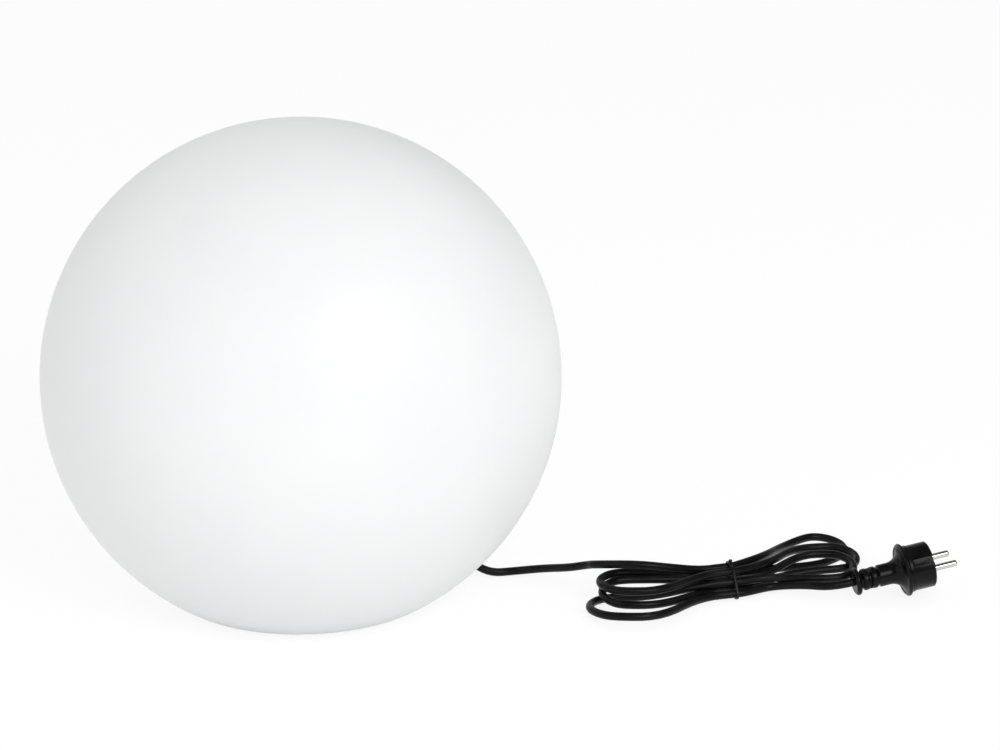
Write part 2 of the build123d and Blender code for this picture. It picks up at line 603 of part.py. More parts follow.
# The lead's sheathed end, from the boot's tip to inside the clamp
with BuildPart() as cord_inner:
    with BuildSketch(radial_plane(SHEATH_END, CORD_EXIT_ANGLE, CORD_EXIT_HEIGHT)):
        Circle(CORD_RADIUS)
    extrude(amount=relief_tip - SHEATH_END)
cord_inner.part.label = "cord_inner"
export_step(cord_inner.part, "parts/cord_inner.step")


def core_wire(side, label):
    """One insulated core, from the sheath's end to the lamp holder's terminal."""
    offset = side * CORE_SPACING / 2 * clamp_sideways
    start = around(SHEATH_END, CORD_EXIT_ANGLE, CORD_EXIT_HEIGHT) + offset
    corner = Vector(0, 0, CORD_EXIT_HEIGHT) + offset
    end = Vector(0, 0, TERMINAL_FOOT_Z) + offset
    with BuildPart() as wire:
        with BuildLine() as route:
            FilletPolyline(start, corner, end, radius=CORE_BEND)
        with BuildSketch(Plane(origin=start, z_dir=-EXIT_DIRECTION)):
            Circle(CORE_RADIUS)
        sweep(path=route.wire())
    wire.part.label = label
    return wire.part


for side, label in ((-1, "wire_live"), (1, "wire_neutral")):
    export_step(core_wire(side, label), f"parts/{label}.step")

# --------------------------------------------------------------------- lamp post
with BuildPart() as lamp_post:
    with BuildSketch(Plane.XZ):
        with BuildLine():
            Polyline(
                (POST_LOWER_RADIUS - POST_WALL, HOUSING_TOP_Z),
                (POST_FOOT_RADIUS, HOUSING_TOP_Z),
                (POST_FOOT_RADIUS, POST_FOOT_TOP_Z),
                (POST_LOWER_RADIUS, POST_FOOT_TOP_Z),
                (POST_UPPER_RADIUS, POST_TOP_Z),
                (NIPPLE_RADIUS, POST_TOP_Z),
                (NIPPLE_RADIUS, POST_TOP_Z - POST_WALL),
                (POST_UPPER_RADIUS - POST_WALL, POST_TOP_Z - POST_WALL),
                close=True,
            )
        make_face()
    revolve(axis=Axis.Z)
    # gussets between the foot and the cone
    for n in range(POST_RIB_COUNT):
        angle = CORD_EXIT_ANGLE + POST_RIB_TURN + 360.0 * n / POST_RIB_COUNT
        with BuildSketch(Plane(origin=(0, 0, 0), x_dir=around(1.0, angle), z_dir=around(1.0, angle - 90.0))):
            with BuildLine():
                Polyline(
                    (POST_LOWER_RADIUS - POST_WALL / 2, POST_FOOT_TOP_Z),
                    (POST_FOOT_RADIUS - POST_RIB_INSET, POST_FOOT_TOP_Z),
                    (POST_FOOT_RADIUS - POST_RIB_INSET, POST_FOOT_TOP_Z + POST_RIB_TOE),
                    (POST_LOWER_RADIUS - POST_WALL, POST_FOOT_TOP_Z + POST_RIB_HEIGHT),
                    close=True,
                )
            make_face()
        extrude(amount=POST_RIB_THICKNESS / 2, both=True)
    with Locations(*[point + Vector(0, 0, POST_FOOT_TOP_Z) for point in POST_SCREW_POINTS]):
        Hole(POST_SCREW_RADIUS + HOLE_CLEARANCE, depth=POST_FOOT_THICKNESS)
    fillet(lamp_post.edges().filter_by(GeomType.CIRCLE).filter_by_position(Axis.Z, POST_TOP_Z, POST_TOP_Z)
           .sort_by(SortBy.RADIUS)[-1], radius=POST_EDGE)
lamp_post.part.label = "lamp_post"
export_step(lamp_post.part, "parts/lamp_post.step")

post_screws = screw_group(POST_SCREW_POINTS, POST_FOOT_TOP_Z, -1, POST_SCREW_RADIUS,
                          POST_FOOT_THICKNESS + POST_SCREW_LENGTH - POST_SCREW_END, COVER_SCREW_HEAD_RADIUS,
                          SCREW_HEAD_HEIGHT)
post_screws.label = "post_screws"
export_step(post_screws, "parts/post_screws.step")

# ------------------------------------------------------------------- lamp holder
nipple_foot_z = POST_TOP_Z - POST_WALL - NIPPLE_NUT_HEIGHT - NIPPLE_END
nipple_top_z = POST_TOP_Z + HOLDER_FOOT_THICKNESS + NIPPLE_TOP_END
with BuildPart() as holder_nipple:
    with BuildSketch(Plane.XY.offset(nipple_foot_z)):
        Circle(NIPPLE_RADIUS)
        Circle(NIPPLE_BORE_RADIUS, mode=Mode.SUBTRACT)
    extrude(amount=nipple_top_z - nipple_foot_z)
    outer_rims = holder_nipple.edges().filter_by(GeomType.CIRCLE).sort_by(SortBy.RADIUS)[-2:]
    chamfer(outer_rims, length=NIPPLE_CHAMFER)
holder_nipple.part.label = "holder_nipple"
export_step(holder_nipple.part, "parts/holder_nipple.step")

with BuildPart() as nipple_nut:
    with BuildSketch(Plane.XY.offset(POST_TOP_Z - POST_WALL - NIPPLE_NUT_HEIGHT)):
        RegularPolygon(NIPPLE_NUT_RADIUS, 6)
        Circle(NIPPLE_RADIUS, mode=Mode.SUBTRACT)
    extrude(amount=NIPPLE_NUT_HEIGHT)
nipple_nut.part.label = "nipple_nut"
export_step(nipple_nut.part, "parts/nipple_nut.step")

# The holder's foot: a cup on the nipple that takes the contact block
holder_joint_z = POST_TOP_Z + HOLDER_CUP_HEIGHT
holder_inner_radius = HOLDER_RADIUS - HOLDER_WALL
block_foot_z = CONTACT_PLATE_Z - CONTACT_PLATE_THICKNESS
with BuildPart() as holder_cup:
    with BuildSketch(Plane.XZ):
        with BuildLine():
            Polyline(
                (NIPPLE_RADIUS, POST_TOP_Z),
                (HOLDER_FOOT_RADIUS, POST_TOP_Z),
                (HOLDER_RADIUS, POST_TOP_Z + HOLDER_CUP_HEIGHT / 2),
                (HOLDER_RADIUS, holder_joint_z),
                (holder_inner_radius, holder_joint_z),
                (holder_inner_radius, block_foot_z),
                (holder_inner_radius - BLOCK_SEAT, block_foot_z),
                (HOLDER_FOOT_RADIUS - HOLDER_WALL, POST_TOP_Z + HOLDER_FOOT_THICKNESS),
                (NIPPLE_RADIUS, POST_TOP_Z + HOLDER_FOOT_THICKNESS),
                close=True,
            )
        make_face()
    revolve(axis=Axis.Z)
holder_cup.part.label = "holder_cup"
export_step(holder_cup.part, "parts/holder_cup.step")

# The contact block, a ceramic disc that stands on the cup's inner step
with BuildPart() as contact_block:
    with BuildSketch(Plane.XY.offset(block_foot_z)):
        Circle(holder_inner_radius)
    extrude(amount=CONTACT_PLATE_THICKNESS)
    chamfer(contact_block.edges().group_by(Axis.Z)[-1], length=CONTACT_CHAMFER)
    with BuildSketch(Plane(origin=(0, 0, block_foot_z), x_dir=clamp_sideways, z_dir=(0, 0, 1))):
        with GridLocations(TERMINAL_SPACING, 0, 2, 1):
            Rectangle(TERMINAL_SIZE[0], TERMINAL_SIZE[1])
    extrude(amount=TERMINAL_SEAT, mode=Mode.SUBTRACT)
contact_block.part.label = "contact_block"
export_step(contact_block.part, "parts/contact_block.step")

with BuildPart() as holder_terminals:
    with BuildSketch(Plane(origin=(0, 0, TERMINAL_FOOT_Z), x_dir=clamp_sideways, z_dir=(0, 0, 1))):
        with GridLocations(TERMINAL_SPACING, 0, 2, 1):
            Rectangle(TERMINAL_SIZE[0], TERMINAL_SIZE[1])
    extrude(amount=block_foot_z + TERMINAL_SEAT - TERMINAL_FOOT_Z)
    chamfer(holder_terminals.edges().filter_by(Axis.Z), length=TERMINAL_CHAMFER)
holder_terminals.part.label = "holder_terminals"
export_step(holder_terminals.part, "parts/holder_terminals.step")

# The holder's upper shell, hollow from below, round the metal screw sleeve
sleeve_inner = CAP_RADIUS + CAP_CLEARANCE
sleeve_outer = sleeve_inner + SLEEVE_WALL
sleeve_foot_z = CONTACT_PLATE_Z + SLEEVE_FOOT_GAP
sleeve_top_z = HOLDER_RIM_Z - SLEEVE_TOP_GAP
with BuildPart() as holder_shell:
    with BuildSketch(Plane.XZ):
        with BuildLine():
            Polyline(
                (holder_inner_radius, holder_joint_z),
                (HOLDER_RADIUS, holder_joint_z),
                (HOLDER_RADIUS, HOLDER_RIM_Z),
                (sleeve_inner, HOLDER_RIM_Z),
                (sleeve_inner, sleeve_top_z),
                (sleeve_outer + RUN_CLEARANCE, sleeve_top_z),
                (sleeve_outer + RUN_CLEARANCE, sleeve_foot_z),
                (holder_inner_radius, sleeve_foot_z),
                close=True,
            )
        make_face()
    revolve(axis=Axis.Z)
    fillet(holder_shell.edges().filter_by(GeomType.CIRCLE).group_by(Axis.Z)[-1].sort_by(SortBy.RADIUS)[-1],
           radius=HOLDER_EDGE)
    with BuildSketch(Plane.XY.offset(holder_joint_z)):
        with PolarLocations(HOLDER_RADIUS, GRIP_COUNT):
            Circle(GRIP_RADIUS)
    extrude(amount=GRIP_LENGTH, mode=Mode.SUBTRACT)
holder_shell.part.label = "holder_shell"
export_step(holder_shell.part, "parts/holder_shell.step")

with BuildPart() as screw_sleeve:
    with BuildSketch(Plane.XY.offset(sleeve_foot_z)):
        Circle(sleeve_outer)
        Circle(sleeve_inner, mode=Mode.SUBTRACT)
    extrude(amount=sleeve_top_z - sleeve_foot_z)
    # two legs down to the contact block
    with BuildSketch(Plane.XY.offset(CONTACT_PLATE_Z)):
        Circle(sleeve_outer)
        Circle(sleeve_inner, mode=Mode.SUBTRACT)
        Rectangle(2 * sleeve_outer, SLEEVE_LEG_WIDTH, mode=Mode.INTERSECT)
    extrude(amount=SLEEVE_FOOT_GAP)
screw_sleeve.part.label = "screw_sleeve"
export_step(screw_sleeve.part, "parts/screw_sleeve.step")

# The centre contact, a bent spring strip
with BuildPart() as centre_contact:
    with BuildSketch(Plane(origin=(0, 0, 0), x_dir=EXIT_DIRECTION, z_dir=-1 * clamp_sideways)):
        with BuildLine():
            strip = Polyline(
                (-CONTACT_REACH, CONTACT_PLATE_Z + CONTACT_THICKNESS / 2),
                (CONTACT_REACH / 2, CONTACT_PLATE_Z + CONTACT_THICKNESS / 2),
                (CONTACT_REACH, CONTACT_PLATE_Z + CONTACT_RISE / 2),
                (CONTACT_REACH / 2, CENTRE_CONTACT_Z - CONTACT_THICKNESS / 2),
                (-CONTACT_REACH / 2, CENTRE_CONTACT_Z - CONTACT_THICKNESS / 2),
            )
            offset(strip, amount=CONTACT_THICKNESS / 2, side=Side.BOTH)
        make_face()
    extrude(amount=CONTACT_WIDTH / 2, both=True)
centre_contact.part.label = "centre_contact"
export_step(centre_contact.part, "parts/centre_contact.step")

# ------------------------------------------------------------------------- lamp
insulator_z = BULB_FOOT_Z + BULB_CONTACT_HEIGHT
cap_foot_z = insulator_z + INSULATOR_HEIGHT
cap_top_z = cap_foot_z + CAP_LENGTH
bulb_top_z = BULB_FOOT_Z + BULB_LENGTH
diffuser_z = cap_top_z + BULB_HOUSING_LENGTH
cap_root_radius = CAP_RADIUS - CAP_THREAD_DEPTH

with BuildPart() as bulb_contact:
    with BuildSketch(Plane.XY.offset(BULB_FOOT_Z)):
        Circle(BULB_CONTACT_RADIUS)
    extrude(amount=BULB_CONTACT_HEIGHT)
    fillet(bulb_contact.edges().group_by(Axis.Z)[0], radius=BULB_CONTACT_HEIGHT / 2)
bulb_contact.part.label = "bulb_contact"
export_step(bulb_contact.part, "parts/bulb_contact.step")

with BuildPart() as bulb_insulator:
    with BuildSketch(Plane.XY.offset(insulator_z)):
        Circle(BULB_CONTACT_RADIUS + INSULATOR_RIM)
    with BuildSketch(Plane.XY.offset(cap_foot_z)):
        Circle(cap_root_radius - CAP_WALL)
    loft()
bulb_insulator.part.label = "bulb_insulator"
export_step(bulb_insulator.part, "parts/bulb_insulator.step")

# The metal cap: a thin shell with its rolled thread
with BuildPart() as bulb_cap:
    with BuildSketch(Plane.XZ):
        with BuildLine():
            rolled = [(cap_root_radius, cap_foot_z)]
            thread_foot = cap_foot_z + (CAP_LENGTH - CAP_THREAD_TURNS * CAP_THREAD_PITCH) / 2
            for n in range(2 * CAP_THREAD_TURNS + 1):
                height = thread_foot + n * CAP_THREAD_PITCH / 2
                rolled.append((cap_root_radius if n % 2 == 0 else CAP_RADIUS, height))
            rolled.append((cap_root_radius, cap_top_z))
            Polyline(*rolled)
            Polyline(
                (cap_root_radius, cap_top_z),
                (cap_root_radius - CAP_WALL, cap_top_z),
                (cap_root_radius - CAP_WALL, cap_foot_z),
                (cap_root_radius, cap_foot_z),
            )
        make_face()
    revolve(axis=Axis.Z)
    crests = bulb_cap.edges().filter_by(GeomType.CIRCLE).filter_by(lambda edge: edge.radius > cap_root_radius)
    fillet(crests, radius=CAP_CREST_ROUNDING)
bulb_cap.part.label = "bulb_cap"
export_step(bulb_cap.part, "parts/bulb_cap.step")

# The lamp's lower housing flares from the cap to the diffuser
with BuildPart() as bulb_housing:
    with BuildSketch(Plane.XZ):
        with BuildLine():
            outside = Spline(
                (BULB_NECK_RADIUS, cap_top_z + CAP_LIP),
                (BULB_RADIUS * 0.72, cap_top_z + BULB_HOUSING_LENGTH * 0.55),
                (BULB_RADIUS - BULB_SKIN, diffuser_z),
                tangents=((0.25, 1.0), (0.35, 1.0)),
            )
            Polyline(
                outside @ 1,
                (BULB_RADIUS - 3 * BULB_SKIN, diffuser_z),
                (BULB_NECK_RADIUS - 2 * BULB_SKIN, cap_top_z + CAP_LIP),
                (BULB_NECK_RADIUS - 2 * BULB_SKIN, cap_top_z),
                (BULB_NECK_RADIUS, cap_top_z),
                outside @ 0,
            )
        make_face()
    revolve(axis=Axis.Z)
bulb_housing.part.label = "bulb_housing"
export_step(bulb_housing.part, "parts/bulb_housing.step")

with BuildPart() as led_board:
    with BuildSketch(Plane.XY.offset(diffuser_z)):
        Circle(BOARD_RADIUS)
    extrude(amount=BOARD_THICKNESS)
    with BuildSketch(Plane.XY.offset(diffuser_z + BOARD_THICKNESS)):
        with PolarLocations(BOARD_LED_CIRCLE, BOARD_LED_COUNT):
            Rectangle(BOARD_LED_SIZE, BOARD_LED_SIZE)
    extrude(amount=BOARD_LED_HEIGHT)
led_board.part.label = "led_board"
export_step(led_board.part, "parts/led_board.step")

# The diffuser: an opal dome, widest a little above its foot
dome_centre_z = bulb_top_z - BULB_RADIUS
with BuildPart() as bulb_diffuser:
    with BuildSketch(Plane.XZ):
        with BuildLine():
            inner = BULB_RADIUS - BULB_SKIN
            Line((BULB_RADIUS - BULB_SKIN, diffuser_z), (BULB_RADIUS, dome_centre_z))
            CenterArc((0, dome_centre_z), BULB_RADIUS, 0, 90)
            Line((0, bulb_top_z), (0, bulb_top_z - BULB_SKIN))
            CenterArc((0, dome_centre_z), inner, 0, 90)
            Line((inner, dome_centre_z), (inner - BULB_SKIN, diffuser_z))
            Line((inner - BULB_SKIN, diffuser_z), (BULB_RADIUS - BULB_SKIN, diffuser_z))
        make_face()
    revolve(axis=Axis.Z)
bulb_diffuser.part.label = "bulb_diffuser"
export_step(bulb_diffuser.part, "parts/bulb_diffuser.step")

# ---------------------------------------------------------- plug, where it lies
plug_axis = Vector(
    math.cos(math.radians(PLUG_RISE)) * math.cos(math.radians(PLUG_TURN)),
    math.cos(math.radians(PLUG_RISE)) * math.sin(math.radians(PLUG_TURN)),
    math.sin(math.radians(PLUG_RISE)),
)
collar_height = (PLUG_COLLAR_RADIUS * math.cos(math.radians(PLUG_RISE))
                 + PLUG_COLLAR_THICKNESS / 2 * math.sin(math.radians(PLUG_RISE)) + PLUG_GROUND_GAP)
plug_centre = Vector(*PLUG_COLLAR_AT, collar_height)
plug_sideways = around(1.0, PLUG_TURN + 90.0)
plug_section = Plane(origin=plug_centre, x_dir=plug_axis, z_dir=-1 * plug_sideways)
plug_line = Axis(plug_centre, plug_axis)
pin_line = plug_sideways.rotate(Axis((0, 0, 0), plug_axis), PLUG_ROLL)
tail_face_at = -PLUG_FLANGE_AT - PLUG_FLANGE_THICKNESS / 2


def plug_cross_plane(along):
    """A plane square to the plug's axis, with its X along the line of the pins."""
    return Plane(origin=plug_centre + along * plug_axis, x_dir=pin_line, z_dir=plug_axis)


# One moulding: end flange, flexible rings, neck, flare, collar and front body
with BuildPart() as plug_body:
    with BuildSketch(plug_section):
        with BuildLine():
            rings = [(tail_face_at, 0), (tail_face_at, PLUG_FLANGE_RADIUS)]
            rings.append((tail_face_at + PLUG_FLANGE_THICKNESS, PLUG_FLANGE_RADIUS))
            rings.append((tail_face_at + PLUG_FLANGE_THICKNESS, PLUG_CORE_RADIUS))
            for n in range(PLUG_RING_COUNT):
                ring_at = -PLUG_FLANGE_AT + (n + 1) * PLUG_RING_PITCH
                rings.append((ring_at - PLUG_RING_THICKNESS / 2, PLUG_CORE_RADIUS))
                rings.append((ring_at - PLUG_RING_THICKNESS / 2, PLUG_RING_RADIUS))
                rings.append((ring_at + PLUG_RING_THICKNESS / 2, PLUG_RING_RADIUS))
                rings.append((ring_at + PLUG_RING_THICKNESS / 2, PLUG_CORE_RADIUS))
            rings.append((-PLUG_NECK_AT, PLUG_CORE_RADIUS))
            rings.append((-PLUG_NECK_AT, PLUG_NECK_RADIUS))
            collar_back = -PLUG_COLLAR_THICKNESS / 2
            flare_foot = collar_back - PLUG_FLARE_RADIUS
            rings.append((flare_foot, PLUG_NECK_RADIUS))
            Polyline(*rings)
            flare = JernArc(start=(flare_foot, PLUG_NECK_RADIUS), tangent=(1, 0), radius=PLUG_FLARE_RADIUS,
                            arc_size=PLUG_FLARE_TURN)
            Polyline(
                flare @ 1,
                (collar_back, PLUG_COLLAR_RADIUS),
                (-collar_back, PLUG_COLLAR_RADIUS),
                (PLUG_SHOULDER_AT, PLUG_BODY_RADIUS),
                (PLUG_FACE_AT, PLUG_BODY_RADIUS),
                (PLUG_FACE_AT, PLUG_BODY_RADIUS - INSERT_RIM),
                (PLUG_FACE_AT - CARRIER_THICKNESS, PLUG_BODY_RADIUS - INSERT_RIM),
                (PLUG_FACE_AT - CARRIER_THICKNESS, 0),
                (tail_face_at, 0),
            )
        make_face()
    revolve(axis=plug_line)
    outer_rims = plug_body.edges().filter_by(GeomType.CIRCLE).filter_by(
        lambda edge: edge.radius > PLUG_RING_RADIUS - PLUG_EDGE / 2)
    fillet(outer_rims.filter_by(lambda edge: abs(edge.radius - PLUG_BODY_RADIUS + INSERT_RIM) > PLUG_EDGE),
           radius=PLUG_EDGE)
    # the two guide recesses
    with BuildSketch(plug_cross_plane(PLUG_FACE_AT - GUIDE_LENGTH)):
        with PolarLocations(PLUG_BODY_RADIUS, 2, start_angle=-GUIDE_TURN):
            Rectangle(2 * GUIDE_DEPTH, GUIDE_WIDTH)
    extrude(amount=GUIDE_LENGTH, mode=Mode.SUBTRACT)
plug_body.part.label = "plug_body"
export_step(plug_body.part, "parts/plug_body.step")

# The pin carrier, flush with the plug's face
with BuildPart() as plug_insert:
    with BuildSketch(plug_cross_plane(PLUG_FACE_AT - CARRIER_THICKNESS)):
        Circle(PLUG_BODY_RADIUS - INSERT_RIM)
        with GridLocations(PIN_SPACING, 0, 2, 1):
            Circle(PIN_DIAMETER / 2, mode=Mode.SUBTRACT)
    extrude(amount=CARRIER_THICKNESS)
    with BuildSketch(plug_cross_plane(PLUG_FACE_AT - CARRIER_DISH)):
        Circle(PLUG_BODY_RADIUS - 2 * INSERT_RIM)
        with GridLocations(PIN_SPACING, 0, 2, 1):
            Circle(PIN_DIAMETER / 2 + CARRIER_DISH, mode=Mode.SUBTRACT)
    extrude(amount=CARRIER_DISH, mode=Mode.SUBTRACT)
plug_insert.part.label = "plug_insert"
export_step(plug_insert.part, "parts/plug_insert.step")

with BuildPart() as plug_pins:
    with BuildSketch(plug_cross_plane(PLUG_FACE_AT - CARRIER_THICKNESS)):
        with GridLocations(PIN_SPACING, 0, 2, 1):
            Circle(PIN_DIAMETER / 2)
    extrude(amount=CARRIER_THICKNESS + PIN_LENGTH)
    pin_tips = plug_pins.edges().filter_by(GeomType.CIRCLE).filter_by(
        lambda edge: (edge.arc_center - plug_centre).dot(plug_axis) > PLUG_FACE_AT + PIN_LENGTH / 2)
    fillet(pin_tips, radius=PIN_TIP_ROUNDING)
plug_pins.part.label = "plug_pins"
export_step(plug_pins.part, "parts/plug_pins.step")


# ------------------------------------------------------------------ lead and hank
hank_along = around(1.0, HANK_TURN)
hank_across = around(1.0, HANK_TURN + 90.0)


def hank_point(along, across, height):
    """A point in the hank's own directions, from the middle of its waist."""
    return Vector(*TIE_AT, height) + along * hank_along + across * hank_across


def strand_end(number, side):
    """Where a strand leaves the waist, and its heading to the right there."""
    across, row, fan = STRANDS[number]
    height = WAIST_FLOOR + row * WAIST_ROW
    if side < 0:
        return hank_point(-WAIST_HALF, across, height), hank_along
    drift = 2 * WAIST_HALF * math.tan(math.radians(fan / 2))
    return hank_point(WAIST_HALF, across + drift, height), around(1.0, HANK_TURN + fan)


def strand_middle(number):
    """Where a strand passes through the tie: place across it and height."""
    across, row, fan = STRANDS[number]
    drift = WAIST_HALF / 2 * math.tan(math.radians(fan / 2))
    return across + drift, WAIST_FLOOR + row * WAIST_ROW


def biarc(start, start_heading, end, end_heading):
    """Two tangent arcs between two points with given headings: (start, heading, end) of each."""
    reach = end - start
    both = start_heading + end_heading
    spread = 2 * (1 - start_heading.dot(end_heading))
    if spread < FLAT_ENOUGH:
        arm = reach.dot(reach) / (4 * reach.dot(end_heading))
    else:
        along = reach.dot(both)
        arm = (math.sqrt(along**2 + spread * reach.dot(reach)) - along) / spread
    first_corner = start + arm * start_heading
    second_corner = end - arm * end_heading
    joint = (first_corner + second_corner) / 2
    return [(start, start_heading, joint), (joint, (second_corner - first_corner).normalized(), end)]


def fold(number):
    """The arcs of one fold of the hank, from the waist round its half turn and back."""
    side, reach, offset, half_width, first_height, last_height, lean = FOLDS[number]
    start, start_heading = strand_end(number, side)
    end, end_heading = strand_end(number + 1, side)
    heading = side * around(1.0, HANK_TURN + side * lean)
    across = around(1.0, HANK_TURN + side * lean + 90.0)
    turn_side = 1 if (start - end).dot(hank_across) > 0 else -1
    centre = hank_point(side * reach, offset, (first_height + last_height) / 2)
    spoke = turn_side * half_width * across + Vector(0, 0, (first_height - last_height) / 2)
    tip = centre + spoke.length * heading
    out = biarc(start, side * start_heading, centre + spoke, heading)
    turn = [(centre + spoke, heading, tip), (tip, -1 * spoke.normalized(), centre - spoke)]
    back = biarc(centre - spoke, -1 * heading, end, -side * end_heading)
    return out + turn + back


def crossing(number, side):
    """The arc of one strand through the waist; side is where it is bound for."""
    left, left_heading = strand_end(number, -1)
    right, right_heading = strand_end(number, 1)
    if side > 0:
        return biarc(left, left_heading, right, right_heading)
    return biarc(right, -1 * right_heading, left, -1 * left_heading)


def arc_radius(start, heading, end):
    """The radius of the arc that leaves along a heading and reaches a point."""
    chord = end - start
    sine = chord.cross(heading).length / chord.length
    return math.inf if sine < FLAT_ENOUGH else chord.length / (2 * sine)


hank_arcs = []
for number, (side, *_) in enumerate(FOLDS):
    hank_arcs += crossing(number, side) + fold(number)
hank_arcs += crossing(len(FOLDS), 1)
hank_start = hank_arcs[0][0] - CORD_DIAMETER * hank_along
hank_end_heading = strand_end(len(FOLDS), 1)[1]
hank_end = hank_arcs[-1][2] + CORD_DIAMETER * hank_end_heading

with BuildPart() as cord_hank:
    with BuildLine() as hank_line:
        Line(hank_start, hank_arcs[0][0])
        for start, heading, end in hank_arcs:
            if math.isinf(arc_radius(start, heading, end)):
                Line(start, end)
            else:
                TangentArc(start, end, tangent=heading)
        Line(hank_arcs[-1][2], hank_end)
    with BuildSketch(Plane(origin=hank_start, z_dir=hank_along)):
        Circle(CORD_RADIUS)
    sweep(path=hank_line.wire())
cord_hank.part.label = "cord_hank"
export_step(cord_hank.part, "parts/cord_hank.step")


def cord_tube(points, label):
    """A tube along straight runs joined by tangent arcs as large as the runs allow."""
    corners = [Vector(*point) for point in points]
    radii = []
    for before, corner, after in zip(corners, corners[1:], corners[2:]):
        turn = math.radians((corner - before).get_angle(after - corner))
        shorter = min((corner - before).length, (after - corner).length)
        radii.append(ARC_SHARE * shorter / math.tan(turn / 2))
    with BuildPart() as tube:
        with BuildLine() as route:
            FilletPolyline(*corners, radius=radii)
        with BuildSketch(Plane(origin=corners[0], z_dir=corners[1] - corners[0])):
            Circle(CORD_RADIUS)
        sweep(path=route.wire())
    tube.part.label = label
    export_step(tube.part, f"parts/{label}.step")
    length = route.wire().length
    print(f"{label}: {length:.1f} mm, radii", [round(radius, 1) for radius in radii],
          f"volume {tube.part.volume / (math.pi * CORD_RADIUS**2 * length):.4f} of section x length")
    return length


boot_tip = around(relief_tip, CORD_EXIT_ANGLE, CORD_EXIT_HEIGHT)
out_of_boot = boot_tip + STRAIGHT_RUN * EXIT_DIRECTION
into_hank = hank_start - STRAIGHT_RUN * hank_along
lead_length = cord_tube((boot_tip, out_of_boot, *LEAD_ROUTE, into_hank, hank_start), "cord_lead")
tail_end = plug_centre + tail_face_at * plug_axis
out_of_hank = hank_end + STRAIGHT_RUN * hank_end_heading
into_plug = tail_end - STRAIGHT_RUN * plug_axis
tail_length = cord_tube((hank_end, out_of_hank, *TAIL_ROUTE, into_plug, tail_end), "cord_tail")

# How near the hank comes to itself, and its tightest arc, measured on points
hank_wire = hank_line.wire()
hank_length = hank_wire.length
sample_count = int(hank_length / GAP_STEP)
samples = [hank_wire.position_at(n / sample_count) for n in range(sample_count + 1)]
apart = int(math.pi * CORD_DIAMETER / GAP_STEP)
least_gap = min(
    (samples[m] - samples[n]).length
    for m in range(sample_count + 1) for n in range(m + apart, sample_count + 1)
) - CORD_DIAMETER
tightest = min(arc_radius(*arc) for arc in hank_arcs)
print(f"cord_hank: {hank_length:.1f} mm, least gap {least_gap:.2f}, tightest {tightest:.1f}, "
      f"lowest {min(point.Z for point in samples) - CORD_RADIUS:.2f}, volume "
      f"{cord_hank.part.volume / (math.pi * CORD_RADIUS**2 * hank_length):.4f} of section x length")
print(f"whole lead outside: {lead_length + hank_length + tail_length:.0f} mm")


# The tie: a thin taut band round the waist, with its twisted end on top
tie_section = Plane(origin=hank_point(0, 0, 0), x_dir=hank_across, z_dir=hank_along)
with BuildPart() as cord_tie:
    with BuildSketch(tie_section):
        with Locations(*[strand_middle(number) for number in range(len(STRANDS))]):
            Circle(CORD_RADIUS + TIE_GAP + TIE_THICKNESS)
        make_hull()
        offset(amount=-TIE_THICKNESS, mode=Mode.SUBTRACT)
    extrude(amount=TIE_WIDTH / 2, both=True)
    top_across, top_height = strand_middle(2)
    knot_foot = hank_point(0, top_across, top_height + CORD_RADIUS + TIE_GAP + TIE_THICKNESS / 2)
    with BuildSketch(Plane(origin=knot_foot, z_dir=(0, TIE_KNOT_LEAN, 1))):
        Circle(TIE_KNOT_RADIUS)
    extrude(amount=TIE_KNOT_LENGTH)
cord_tie.part.label = "cord_tie"
export_step(cord_tie.part, "parts/cord_tie.step")
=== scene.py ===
"""Garden globe light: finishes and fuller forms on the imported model. Metres, +Z up."""
import logging
import math
from dataclasses import dataclass, field
from enum import Enum

import bpy
from mathutils import Matrix, Vector


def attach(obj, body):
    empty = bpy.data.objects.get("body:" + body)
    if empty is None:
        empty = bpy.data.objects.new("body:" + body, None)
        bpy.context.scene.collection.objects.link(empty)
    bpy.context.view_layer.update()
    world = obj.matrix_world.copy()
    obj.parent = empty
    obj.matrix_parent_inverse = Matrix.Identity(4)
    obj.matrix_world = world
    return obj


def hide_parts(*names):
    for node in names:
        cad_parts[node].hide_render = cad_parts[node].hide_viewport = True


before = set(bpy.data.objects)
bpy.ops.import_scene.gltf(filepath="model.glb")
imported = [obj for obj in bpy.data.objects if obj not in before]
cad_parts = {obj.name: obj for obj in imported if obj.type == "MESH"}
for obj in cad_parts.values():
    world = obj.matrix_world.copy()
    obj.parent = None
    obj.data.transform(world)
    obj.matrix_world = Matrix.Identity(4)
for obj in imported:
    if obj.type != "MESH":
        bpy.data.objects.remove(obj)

log = logging.getLogger("globe_light")
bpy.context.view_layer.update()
MM = 0.001
MERGE_DISTANCE = 1e-6
SMALLEST_EDGE = 1e-7
WHITE = (1.0, 1.0, 1.0, 1.0)
UP = Vector((0.0, 0.0, 1.0))
EXIT_ANGLE = 6.0  # where the lead leaves the base, in degrees from +X
EXIT_HEIGHT = 0.0136


class Side(Enum):
    """The two ends of the bundled lead."""

    LEFT = -1
    RIGHT = 1


class Joining(Enum):
    """What another shape does to a piece."""

    CUTS = "DIFFERENCE"
    ADDS = "UNION"
    BOUNDS = "INTERSECT"


# ------------------------------------------------------------------------ mesh tools
def deselect_everything() -> None:
    """Leaves nothing selected and nothing in edit mode."""
    if bpy.context.object is not None and bpy.context.object.mode != "OBJECT":
        bpy.ops.object.mode_set(mode="OBJECT")
    bpy.ops.object.select_all(action="DESELECT")


def select_only(piece: bpy.types.Object) -> None:
    """Selects one object and makes it active.

    Args:
        piece: the object.
    """
    deselect_everything()
    piece.select_set(True)
    bpy.context.view_layer.objects.active = piece


